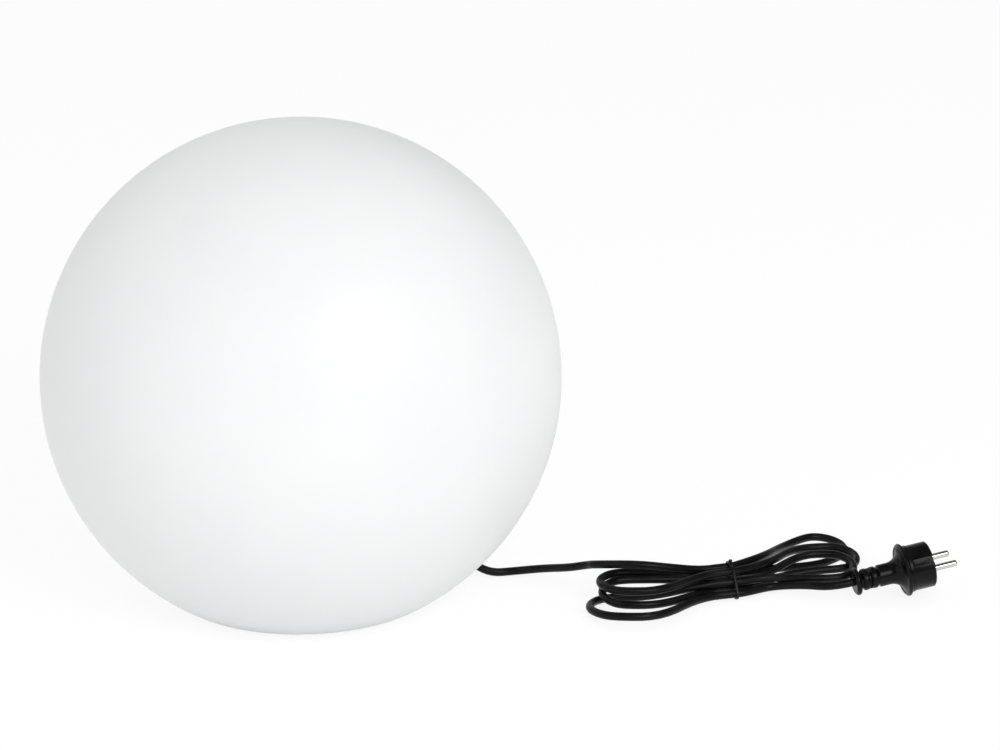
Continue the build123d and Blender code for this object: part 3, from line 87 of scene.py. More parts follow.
def named(name: str) -> bpy.types.Object:
    """Names the active object and its mesh.

    Args:
        name: their new name.

    Returns:
        The object.
    """
    piece = bpy.context.object
    piece.name = piece.data.name = name
    return piece


def in_scene(name: str, data: bpy.types.ID) -> bpy.types.Object:
    """Puts a new object into the scene.

    Args:
        name: its name.
        data: its curve, camera or lamp.

    Returns:
        The object.
    """
    piece = bpy.data.objects.new(name, data)
    bpy.context.scene.collection.objects.link(piece)
    return piece


def settle(piece: bpy.types.Object) -> None:
    """Moves an object's place, turn and scale into its mesh."""
    select_only(piece)
    bpy.ops.object.transform_apply(location=True, rotation=True, scale=True)


def finish_with(piece: bpy.types.Object, kind: str, **settings: object) -> None:
    """Adds a modifier and applies it.

    Args:
        piece: the mesh object.
        kind: the modifier's type.
        settings: its properties.
    """
    select_only(piece)
    modifier = piece.modifiers.new(kind.title(), kind)
    for key, value in settings.items():
        setattr(modifier, key, value)
    bpy.ops.object.modifier_apply(modifier=modifier.name)


def smooth_over(piece: bpy.types.Object, degrees: float = 40.0) -> None:
    """Shades a piece smooth, except over sharper edges."""
    select_only(piece)
    bpy.ops.object.shade_smooth_by_angle(angle=math.radians(degrees))


def turned(name: str, profile: list[tuple[float, float]], steps: int,
           place: Matrix | None = None) -> bpy.types.Object:
    """A turned solid: a profile spun about its axis, closed and facing outwards.

    Args:
        name: the piece's name.
        profile: (radius, height) points in metres, from one end of the axis to the other.
        steps: faces round the axis.
        place: where the turned solid goes, with its axis along local Z.

    Returns:
        The new mesh object.
    """
    deselect_everything()
    bpy.ops.mesh.primitive_plane_add(size=MM)
    piece = named(name)
    bpy.ops.object.mode_set(mode="EDIT")
    bpy.ops.mesh.select_all(action="SELECT")
    bpy.ops.mesh.merge(type="CENTER")
    start = Vector((profile[0][0], 0.0, profile[0][1]))
    bpy.ops.transform.translate(value=start)
    for (r0, z0), (r1, z1) in zip(profile, profile[1:]):
        bpy.ops.mesh.extrude_region_move(TRANSFORM_OT_translate={"value": (r1 - r0, 0.0, z1 - z0)})
    bpy.ops.mesh.select_all(action="SELECT")
    bpy.ops.mesh.spin(steps=steps, angle=math.tau, center=(0, 0, 0), axis=(0, 0, 1))
    bpy.ops.mesh.select_all(action="SELECT")
    bpy.ops.mesh.remove_doubles(threshold=MERGE_DISTANCE)
    bpy.ops.mesh.dissolve_degenerate(threshold=SMALLEST_EDGE)
    bpy.ops.mesh.select_all(action="SELECT")
    bpy.ops.mesh.normals_make_consistent(inside=False)
    bpy.ops.object.mode_set(mode="OBJECT")
    if place is not None:
        piece.matrix_world = place
        settle(piece)
    smooth_over(piece)
    return piece


def arc_points(centre: tuple[float, float], radius: float, first: float, last: float,
               count: int) -> list[tuple[float, float]]:
    """Points of an arc in a profile.

    Args:
        centre: (radius, height) of the arc's middle.
        radius: its radius.
        first: start angle in degrees, from outwards.
        last: end angle in degrees.
        count: how many steps.

    Returns:
        The (radius, height) points, both ends included.
    """
    angles = [math.radians(first + (last - first) * n / count) for n in range(count + 1)]
    return [(centre[0] + radius * math.cos(a), centre[1] + radius * math.sin(a)) for a in angles]


def block(name: str, size: tuple[float, float, float], place: Matrix, bevel: float = 0.0) -> bpy.types.Object:
    """A box at a place, with its edges rounded.

    Args:
        name: its name.
        size: its three sides, in metres.
        place: where its middle goes.
        bevel: width of the rounding, in metres.

    Returns:
        The new mesh object.
    """
    deselect_everything()
    bpy.ops.mesh.primitive_cube_add(size=1.0)
    piece = named(name)
    piece.matrix_world = place @ Matrix.Diagonal((*size, 1.0))
    settle(piece)
    if bevel:
        finish_with(piece, "BEVEL", width=bevel, segments=3, limit_method="ANGLE")
    return piece


def rod(name: str, radius: float, length: float, place: Matrix, sides: int = 64) -> bpy.types.Object:
    """A round rod along local Z, from the place outwards.

    Args:
        name: its name.
        radius: its radius, in metres.
        length: its length, in metres.
        place: where its first end goes.
        sides: faces round it.

    Returns:
        The new mesh object.
    """
    deselect_everything()
    bpy.ops.mesh.primitive_cylinder_add(vertices=sides, radius=radius, depth=length, location=(0, 0, length / 2))
    piece = named(name)
    settle(piece)
    piece.matrix_world = place
    settle(piece)
    return piece


def combine(piece: bpy.types.Object, other: bpy.types.Object, how: Joining) -> None:
    """Combines a piece with another shape, which is used up.

    Args:
        piece: the piece that stays.
        other: the other shape.
        how: what the other shape does to the piece.
    """
    finish_with(piece, "BOOLEAN", operation=how.value, solver="EXACT", object=other)
    bpy.data.objects.remove(other)


def joined(name: str, parts: list[bpy.types.Object]) -> bpy.types.Object:
    """Joins meshes into one object.

    Args:
        name: the object's name.
        parts: the meshes.

    Returns:
        The object.
    """
    select_only(parts[0])
    for part in parts[1:]:
        part.select_set(True)
    bpy.ops.object.join()
    return named(name)


def smooth_line(name: str, points: list[Vector], thickness: float, rounding: int, steps: int) -> bpy.types.Object:
    """A round line that follows its control points smoothly.

    Args:
        name: its name.
        points: the control points, in metres.
        thickness: its diameter, or 0 for the bare line.
        rounding: how finely its section is drawn.
        steps: how finely each stretch is drawn.

    Returns:
        The curve's object.
    """
    curve = bpy.data.curves.new(name, "CURVE")
    curve.dimensions = "3D"
    curve.bevel_depth = thickness / 2
    curve.bevel_resolution = rounding
    curve.resolution_u = steps
    curve.use_fill_caps = True
    spline = curve.splines.new("NURBS")
    spline.points.add(len(points) - 1)
    for spot, point in zip(spline.points, points):
        spot.co = (*point, 1.0)
    spline.order_u = 3
    spline.use_endpoint_u = True
    return in_scene(name, curve)


def facing(origin: Vector, along: Vector, sideways: Vector) -> Matrix:
    """A place whose local Z runs along a direction and whose local X runs sideways.

    Args:
        origin: its origin.
        along: the way of local Z.
        sideways: roughly the way of local X.

    Returns:
        The place.
    """
    z = along.normalized()
    y = z.cross(sideways).normalized()
    return Matrix.Translation(origin) @ Matrix((y.cross(z), y, z)).transposed().to_4x4()


def heading(angle: float) -> Vector:
    """The unit direction at an angle in degrees about +Z, from +X."""
    return Vector((math.cos(math.radians(angle)), math.sin(math.radians(angle)), 0.0))


# ------------------------------------------------------------------------- materials
def feed(tree: bpy.types.NodeTree, node: bpy.types.Node, inputs: dict) -> None:
    """Fills a node's inputs.

    Args:
        tree: the node's tree.
        node: the node.
        inputs: each input's name or number, with its value or the socket that feeds it.
    """
    for key, value in inputs.items():
        if isinstance(value, bpy.types.NodeSocket):
            tree.links.new(value, node.inputs[key])
        else:
            node.inputs[key].default_value = value


def wired(tree: bpy.types.NodeTree, kind: str, inputs: dict | None = None, **settings: object) -> bpy.types.Node:
    """Adds a node and fills its inputs.

    Args:
        tree: the tree it joins.
        kind: its type, without the word ShaderNode.
        inputs: as for feed.
        settings: its properties.

    Returns:
        The node.
    """
    node = tree.nodes.new("ShaderNode" + kind)
    for key, value in settings.items():
        setattr(node, key, value)
    feed(tree, node, inputs or {})
    return node


def seen_rays(tree: bpy.types.NodeTree) -> bpy.types.NodeSocket:
    """The rays that show the background: those of the camera, of gloss and through glass.

    Args:
        tree: the tree that asks.

    Returns:
        A socket that is 1 for such a ray.
    """
    ray = wired(tree, "LightPath").outputs
    shown = ray["Is Camera Ray"]
    for kind in ("Is Glossy Ray", "Is Transmission Ray"):
        shown = wired(tree, "Math", {0: shown, 1: ray[kind]}, operation="MAXIMUM").outputs["Value"]
    return shown


class Effects:
    """Shader node groups that several finishes share."""

    def __init__(self) -> None:
        """Builds each group once."""
        self.moulded_grain = self._moulded_grain()
        self.settled_dust = self._settled_dust()
        self.drawn_lines = self._drawn_lines()

    @staticmethod
    def _group(name: str, inputs: dict[str, float], outputs: list[str]) -> tuple:
        """Starts a group with number inputs and outputs.

        Args:
            name: the group's name.
            inputs: each input and its default.
            outputs: the outputs' names.

        Returns:
            The group, the sockets it is given and the sockets it fills.
        """
        group = bpy.data.node_groups.new(name, "ShaderNodeTree")
        for key, value in inputs.items():
            socket = group.interface.new_socket(name=key, in_out="INPUT", socket_type="NodeSocketFloat")
            socket.default_value = value
        for key in outputs:
            group.interface.new_socket(name=key, in_out="OUTPUT", socket_type="NodeSocketFloat")
        return group, group.nodes.new("NodeGroupInput").outputs, group.nodes.new("NodeGroupOutput").inputs

    def _moulded_grain(self) -> bpy.types.NodeTree:
        """Fine spark-eroded grain over a slow unevenness.

        Returns:
            The group, with a height and a tone.
        """
        group, given, out = self._group("moulded_grain", {"Scale": 900.0, "Unevenness": 30.0, "Mix": 0.35},
                                        ["Height", "Tone"])
        where = wired(group, "TexCoord").outputs["Object"]
        fine = wired(group, "TexNoise", {"Vector": where, "Scale": given["Scale"], "Detail": 4.0}).outputs["Fac"]
        slow = wired(group, "TexNoise", {"Vector": where, "Scale": given["Unevenness"], "Detail": 2.0}).outputs["Fac"]
        blend = wired(group, "Mix", {"Factor": given["Mix"], "A": fine, "B": slow})
        group.links.new(blend.outputs["Result"], out["Height"])
        group.links.new(slow, out["Tone"])
        return group

    def _settled_dust(self) -> bpy.types.NodeTree:
        """Patches that are strongest on faces that look up.

        Returns:
            The group, with a mask.
        """
        group, given, out = self._group("settled_dust", {"Amount": 0.3, "Scale": 60.0}, ["Mask"])
        way = wired(group, "SeparateXYZ", {"Vector": wired(group, "NewGeometry").outputs["Normal"]})
        where = wired(group, "TexCoord").outputs["Object"]
        patch = wired(group, "TexNoise", {"Vector": where, "Scale": given["Scale"], "Detail": 5.0})
        up = wired(group, "MapRange", {"Value": way.outputs["Z"], "From Min": 0.1, "From Max": 1.0})
        spots = wired(group, "MapRange", {"Value": patch.outputs["Fac"], "From Min": 0.42, "From Max": 0.7})
        both = wired(group, "Math", {0: up.outputs["Result"], 1: spots.outputs["Result"]}, operation="MULTIPLY")
        much = wired(group, "Math", {0: both.outputs["Value"], 1: given["Amount"]}, operation="MULTIPLY")
        group.links.new(much.outputs["Value"], out["Mask"])
        return group

    def _drawn_lines(self) -> bpy.types.NodeTree:
        """Fine turning or drawing lines across one axis.

        Returns:
            The group, with a height and a tone.
        """
        group, given, out = self._group("drawn_lines", {"Fineness": 2500.0, "Stretch": 0.04}, ["Height", "Tone"])
        axes = wired(group, "SeparateXYZ", {"Vector": wired(group, "TexCoord").outputs["Object"]}).outputs
        flat = {"Z": axes["Z"]}
        for axis in ("X", "Y"):
            slower = wired(group, "Math", {0: axes[axis], 1: given["Stretch"]}, operation="MULTIPLY")
            flat[axis] = slower.outputs["Value"]
        lines = wired(group, "TexNoise", {"Vector": wired(group, "CombineXYZ", flat).outputs["Vector"],
                                          "Scale": given["Fineness"], "Detail": 3.0})
        for key in ("Height", "Tone"):
            group.links.new(lines.outputs["Fac"], out[key])
        return group


class Grain(Enum):
    """Which surface effect a finish carries."""

    MOULDED = "moulded_grain"
    DRAWN = "drawn_lines"


@dataclass(frozen=True)
class Finish:
    """One finish: its two tones, its gloss, its grain and its dust."""

    name: str
    light: tuple[float, float, float]
    dark: tuple[float, float, float]
    roughness: tuple[float, float] = (0.4, 0.5)
    metallic: float = 0.0
    coat: float = 0.0
    coat_roughness: float = 0.2
    grain: Grain = Grain.MOULDED
    scale: float = 900.0
    unevenness: float = 30.0
    mix: float = 0.35
    spread: tuple[float, float] = (0.3, 0.7)
    bump: float = 0.15
    bump_depth: float = 0.0001
    dust: float = 0.0
    dust_colour: tuple[float, float, float, float] = (0.45, 0.42, 0.38, 1.0)
    specular: float = 0.5
    # an edge tint below white paints darker rims wherever a surface is seen edge-on
    edge_tint: tuple[float, float, float, float] = WHITE
    scatter: float = 0.0
    scatter_depth: float = 0.01

    def build(self, effects: Effects) -> bpy.types.Material:
        """Makes the material.

        Args:
            effects: the shared node groups.

        Returns:
            The material.
        """
        material = bpy.data.materials.new(self.name)
        material.use_nodes = True
        tree = material.node_tree
        pattern = {"Scale": self.scale, "Unevenness": self.unevenness, "Mix": self.mix}
        grain = wired(tree, "Group", pattern if self.grain is Grain.MOULDED else {},
                      node_tree=getattr(effects, self.grain.value)).outputs
        tones = wired(tree, "ValToRGB", {"Fac": grain["Tone"]})
        for element, position, tone in zip(tones.color_ramp.elements, self.spread, (self.dark, self.light)):
            element.position = position
            element.color = (*tone, 1.0)
        colour = tones.outputs["Color"]
        gloss = wired(tree, "MapRange", {"Value": grain["Height"], "From Min": self.spread[0],
                                         "From Max": self.spread[1], "To Min": self.roughness[0],
                                         "To Max": self.roughness[1]})
        relief = wired(tree, "Bump", {"Height": grain["Height"], "Strength": self.bump, "Distance": self.bump_depth})
        if self.dust:
            dust = wired(tree, "Group", {"Amount": self.dust}, node_tree=effects.settled_dust)
            over = wired(tree, "Mix", {"Factor": dust.outputs["Mask"], "A": colour, "B": self.dust_colour},
                         data_type="RGBA")
            colour = over.outputs["Result"]
        feed(tree, tree.nodes["Principled BSDF"], {
            "Base Color": colour, "Roughness": gloss.outputs["Result"], "Normal": relief.outputs["Normal"],
            "Metallic": self.metallic, "Coat Weight": self.coat, "Coat Roughness": self.coat_roughness,
            "Specular IOR Level": self.specular, "Specular Tint": self.edge_tint, "Subsurface Weight": self.scatter,
            "Subsurface Radius": WHITE[:3], "Subsurface Scale": self.scatter_depth})
        return material


class Finishes:
    """Every finish of the light, made once."""

    GLOBE = Finish("globe_polyethylene", (0.905, 0.91, 0.915), (0.885, 0.89, 0.9), (0.4, 0.48), scale=420.0,
                   unevenness=9.0, mix=0.5, bump=0.06, bump_depth=0.0004, specular=0.3, scatter=0.3, scatter_depth=0.02)
    BASE = Finish("base_black_plastic", (0.022, 0.022, 0.023), (0.013, 0.013, 0.014), (0.42, 0.55), scale=1400.0,
                  bump=0.3, bump_depth=0.00015, dust=0.12)
    SEAL = Finish("seal_rubber", (0.018, 0.018, 0.018), (0.01, 0.01, 0.01), (0.6, 0.75), scale=1800.0, bump=0.2,
                  dust=0.2)
    CORD = Finish("cord_rubber", (0.0055, 0.0055, 0.006), (0.003, 0.003, 0.0034), (0.3, 0.4), specular=0.15,
                  scale=1100.0, unevenness=60.0, bump=0.18, bump_depth=0.00012, dust=0.015)
    PLUG = Finish("plug_rubber", (0.0035, 0.0035, 0.0038), (0.002, 0.002, 0.0022), (0.24, 0.34), specular=0.1,
                  scale=1600.0, unevenness=80.0, bump=0.2, bump_depth=0.00012, dust=0.01, coat=0.1, coat_roughness=0.22)
    TIE = Finish("tie_coated_wire", (0.006, 0.006, 0.006), (0.003, 0.003, 0.003), (0.26, 0.36), specular=0.3,
                 scale=2200.0, bump=0.1)
    STEEL = Finish("stainless_fixings", (0.74, 0.73, 0.72), (0.58, 0.58, 0.58), (0.22, 0.38), metallic=1.0,
                   grain=Grain.DRAWN, bump=0.08, bump_depth=0.00005)
    BRASS = Finish("turned_brass", (0.83, 0.64, 0.33), (0.66, 0.48, 0.22), (0.2, 0.36), metallic=1.0, grain=Grain.DRAWN,
                   bump=0.08, bump_depth=0.00005)
    # painted shade: the near-black edge tint darkens the pins wherever they are seen edge-on, a painted dark reflection
    # along their rims
    NICKEL = Finish("plated_pins", (0.7, 0.69, 0.67), (0.63, 0.62, 0.6), (0.1, 0.16), metallic=1.0, scale=2400.0,
                    unevenness=300.0, bump=0.02, bump_depth=0.00003, edge_tint=(0.05, 0.05, 0.045, 1.0))
    CAP = Finish("cap_aluminium", (0.83, 0.83, 0.84), (0.7, 0.7, 0.71), (0.24, 0.36), metallic=1.0, grain=Grain.DRAWN,
                 bump=0.06, bump_depth=0.00005)
    POST = Finish("post_white_plastic", (0.8, 0.8, 0.79), (0.74, 0.74, 0.73), (0.36, 0.46), scale=1300.0, bump=0.15,
                  bump_depth=0.00012, dust=0.1)
    HOLDER = Finish("holder_black_plastic", (0.02, 0.02, 0.021), (0.012, 0.012, 0.013), (0.2, 0.3), scale=700.0,
                    bump=0.05, coat=0.25)
    CERAMIC = Finish("fired_ceramic", (0.83, 0.81, 0.76), (0.74, 0.71, 0.66), (0.45, 0.6), scale=1900.0,
                     unevenness=120.0, bump=0.2)
    LAMP = Finish("lamp_white_plastic", (0.86, 0.86, 0.85), (0.82, 0.82, 0.81), (0.26, 0.34), bump=0.05, coat=0.2)
    OPAL = Finish("opal_diffuser", (0.9, 0.885, 0.85), (0.87, 0.855, 0.82), (0.3, 0.4), scale=800.0, unevenness=20.0,
                  bump=0.04, coat=0.15)
    INSULATOR = Finish("vitreous_black", (0.02, 0.02, 0.024), (0.01, 0.01, 0.012), (0.06, 0.14), scale=400.0, bump=0.05,
                       coat=0.5, coat_roughness=0.05)
    LIVE = Finish("live_core_brown", (0.19, 0.075, 0.03), (0.14, 0.05, 0.02), (0.28, 0.4), scale=1500.0, bump=0.06,
                  bump_depth=0.00005)
    NEUTRAL = Finish("neutral_core_blue", (0.03, 0.11, 0.42), (0.02, 0.075, 0.32), (0.28, 0.4), scale=1500.0, bump=0.06,
                     bump_depth=0.00005)
    BOARD = Finish("board_white_mask", (0.84, 0.84, 0.8), (0.76, 0.76, 0.72), (0.3, 0.42), scale=1500.0, bump=0.08,
                   bump_depth=0.00005)

    def __init__(self) -> None:
        """Starts with the shared effects and no material built."""
        self._effects = Effects()
        self._made: dict[str, bpy.types.Material] = {}

    def material(self, finish: Finish) -> bpy.types.Material:
        """Finds a finish's material, or builds it at its first use.

        Args:
            finish: the finish.

        Returns:
            Its material.
        """
        if finish.name not in self._made:
            self._made[finish.name] = finish.build(self._effects)
        return self._made[finish.name]

    def dress(self, piece: bpy.types.Object, finish: Finish) -> None:
        """Gives a piece one finish in all its material slots.

        Args:
            piece: the piece.
            finish: the finish.
        """
        material = self.material(finish)
        if not piece.data.materials:
            piece.data.materials.append(material)
        for slot in piece.material_slots:
            slot.material = material

    def dress_nodes(self, finish: Finish, *names: str) -> None:
        """Gives carried-over CAD nodes one finish.

        Args:
            finish: the finish.
            names: the nodes.
        """
        for name in names:
            self.dress(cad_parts[name], finish)
            log.info("%s wears %s", name, finish.name)


class Piece:
    """What every sub-assembly shares: its finishes and the way a piece joins the model."""

    def __init__(self, finishes: Finishes) -> None:
        """Keeps the finishes."""
        self.finishes = finishes

    def place(self, piece: bpy.types.Object, body: str, finish: Finish, slot: str, *nodes: str) -> None:
        """Dresses a new piece, rides it on its body and hides the nodes it stands for.

        Args:
            piece: the new object.
            body: the CAD body it rides on.
            finish: its finish.
            slot: a material slot name, not used.
            nodes: the CAD nodes it replaces.
        """
        self.finishes.dress(piece, finish)
        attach(piece, body)
        if nodes:
            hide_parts(*nodes)
        log.info("%s rides on %s", piece.name, body)


# ----------------------------------------------------------------------------- globe
@dataclass(frozen=True)
class GlobeSizes:
    """The globe's sizes, in metres, and its first screw's direction in degrees."""

    radius: float = 0.2
    flat_radius: float = 0.108
    wall: float = 0.003
    stands_off: float = 0.002
    rim_rounding: float = 0.005
    recess_radius: float = 0.082
    recess_depth: float = 0.024
    recess_rounding: float = 0.001
    ledge_slope: float = 0.002
    neck_radius: float = 0.058
    channel_radius: float = 0.0076
    channel_from: float = 0.078
    channel_length: float = 0.13
    channel_overlap: float = 0.004
    roof_from: float = 0.0825
    roof_length: float = 0.075
    roof_skin: float = 0.0004
    roof_floor: float = 0.0002
    screws: int = 4
    screw_circle: float = 0.07
    first_screw: float = 51.0
    boss_radius: float = 0.006
    boss_height: float = 0.014
    boss_cap: float = 0.002
    insert_radius: float = 0.0029

    @property
    def centre_z(self) -> float:
        """Height of the globe's middle."""
        return self.stands_off + math.sqrt(self.radius**2 - self.flat_radius**2)


class Globe(Piece):
    """The moulded globe, turned as one wall with its recess, neck, channel and bosses."""

    sizes = GlobeSizes()

    def _profile(self) -> list[tuple[float, float]]:
        """The wall's section.

        Returns:
            Its (radius, height) points, from the top outside round to the top inside.
        """
        s = self.sizes
        rim, edge = s.rim_rounding, s.recess_rounding
        middle = (0.0, s.centre_z)
        # the rim rounding's middle: inside both the sphere and the flat by its own radius
        round_z = s.stands_off + rim
        round_r = math.sqrt((s.radius - rim)**2 - (s.centre_z - round_z)**2)
        low = math.degrees(math.atan2(round_z - s.centre_z, round_r))
        ledge, flat = s.stands_off + s.recess_depth, s.stands_off + s.wall
        inside = s.radius - s.wall
        inner_low = math.degrees(math.asin((flat - s.centre_z) / inside))
        return [*arc_points(middle, s.radius, 90.0, low, 110), *arc_points((round_r, round_z), rim, low, -90.0, 8),
                (s.recess_radius + edge, s.stands_off), (s.recess_radius, s.stands_off + edge),
                (s.recess_radius, ledge - s.ledge_slope), (s.recess_radius - s.ledge_slope, ledge),
                (s.neck_radius + edge, ledge), (s.neck_radius, ledge + edge), (s.neck_radius, ledge + s.wall),
                (s.recess_radius + s.wall, ledge + s.wall), (s.recess_radius + s.wall, flat),
                *arc_points(middle, inside, inner_low, 90.0, 60)]

    def build(self) -> None:
        """Turns the wall, adds the bosses and the boot's channel, and replaces the CAD shell."""
        s = self.sizes
        shell = turned("globe_wall", self._profile(), 200)
        ledge_top = s.stands_off + s.recess_depth + s.wall
        bosses = []
        for n in range(s.screws):
            spot = heading(s.first_screw + 360.0 / s.screws * n) * s.screw_circle
            boss = rod(f"boss_{n}", s.boss_radius, s.boss_height, Matrix.Translation(spot + UP * ledge_top), 48)
            for piece in (boss, shell):
                hole = rod("insert_hole", s.insert_radius, s.boss_height - s.boss_cap + s.wall + MM,
                           Matrix.Translation(spot + UP * (ledge_top - s.wall - MM)), 40)
                combine(piece, hole, Joining.CUTS)
            bosses.append(boss)
        roof = self._channel(s.channel_radius + s.wall, s.roof_from, s.roof_length)
        for piece in (shell, roof):
            combine(piece, self._channel(s.channel_radius, s.channel_from, s.channel_length), Joining.CUTS)
        combine(roof, self._inner_space(), Joining.BOUNDS)
        globe = joined("globe_wall", [shell, roof, *bosses])
        smooth_over(globe, 35.0)
        self.place(globe, "globe", Finishes.GLOBE, "globe", "globe_shell", "globe_seat")

    def _channel(self, radius: float, start: float, length: float) -> bpy.types.Object:
        """The channel's form: a half-round roof on straight sides, open below.

        Args:
            radius: the roof's radius.
            start: how far from the globe's axis it begins.
            length: how far it runs.

        Returns:
            The new object.
        """
        out = heading(EXIT_ANGLE)
        place = facing(out * start + UP * EXIT_HEIGHT, out, UP)
        depth = EXIT_HEIGHT + self.sizes.channel_overlap
        tube = rod("channel", radius, length, place)
        slot = block("slot", (depth, 2 * radius, length), place @ Matrix.Translation((-depth / 2, 0, length / 2)))
        combine(tube, slot, Joining.ADDS)
        return tube

    def _inner_space(self) -> bpy.types.Object:
        """The space just inside the globe's outer skin, above its flat.

        Returns:
            The new object.
        """
        s = self.sizes
        reach = s.radius - s.roof_skin
        floor = s.stands_off + s.roof_floor
        low = math.degrees(math.asin((floor - s.centre_z) / reach))
        rim = arc_points((0.0, s.centre_z), reach, 89.0, low, 60)
        return turned("inner_space", [(0.0, s.centre_z + reach), *rim, (0.0, floor)], 96)


# ------------------------------------------------------------------------------ plug
@dataclass(frozen=True)
class PlugSizes:
    """How the plug lies, and its sizes about and along its axis, in metres from the collar's middle."""

    at: tuple[float, float] = (0.4665, -0.0272)
    turn: float = 11.0
    rise: float = 10.0
    roll: float = 1.0
    ground_gap: float = 0.0001
    tail_at: float = -0.0407
    flange_radius: float = 0.0108
    flange_width: float = 0.0046
    flange_rounding: float = 0.0022
    flange_insets: tuple[float, float] = (0.002, 0.0014)
    core_radius: float = 0.0054
    core_edge: tuple[float, float] = (0.0004, 0.0008)
    rings: tuple[float, ...] = (-0.0316, -0.0247)
    ring_radius: float = 0.0085
    ring_half: float = 0.0025
    ring_rounding: float = 0.0017
    web_width: float = 0.0062
    web_inset: float = 0.0011
    web_overlap: float = 0.0006
    neck_at: float = -0.021
    neck_radius: float = 0.0086
    neck_edge: float = 0.0008
    flare_at: float = -0.0125
    flare_radius: float = 0.0112
    collar_radius: float = 0.0208
    collar_half: float = 0.0015
    collar_back: tuple[float, float] = (0.0016, 0.0004)
    collar_front: tuple[float, float] = (0.0024, 0.0006)
    body_at: float = 0.0056
    body_radius: float = 0.0179
    body_foot: tuple[float, float] = (0.0005, 0.001)
    face_at: float = 0.0215
    face_edge: float = 0.0009
    carrier_radius: float = 0.0145
    carrier_edge: float = 0.0004
    carrier_depth: float = 0.008
    guide_width: float = 0.0064
    guide_depth: float = 0.0026
    guide_length: float = 0.016
    guide_edge: float = 0.0006
    guide_turn: float = 38.0
    pin_radius: float = 0.0024
    pin_spacing: float = 0.019
    pin_length: float = 0.019
    pin_rounding: float = 0.0016
    pin_gap: float = 0.0002

    @property
    def axis(self) -> Vector:
        """The way the pins point."""
        rise = math.radians(self.rise)
        return heading(self.turn) * math.cos(rise) + UP * math.sin(rise)

    @property
    def centre(self) -> Vector:
        """The collar's middle.

        Returns:
            Its place, with the collar's rim just on the ground.
        """
        rise = math.radians(self.rise)
        height = self.collar_radius * math.cos(rise) + self.collar_half * math.sin(rise) + self.ground_gap
        return Vector((*self.at, height))

    @property
    def place(self) -> Matrix:
        """The plug's own place.

        Returns:
            A place with local Z along the plug's axis and local X along the line of the pins.
        """
        sideways = heading(self.turn + 90.0)
        pins = Matrix.Rotation(math.radians(self.roll), 4, self.axis) @ sideways
        return facing(self.centre, self.axis, pins)

    def along(self, distance: float) -> Vector:
        """A point on the plug's axis, from the collar's middle."""
        return self.centre + distance * self.axis


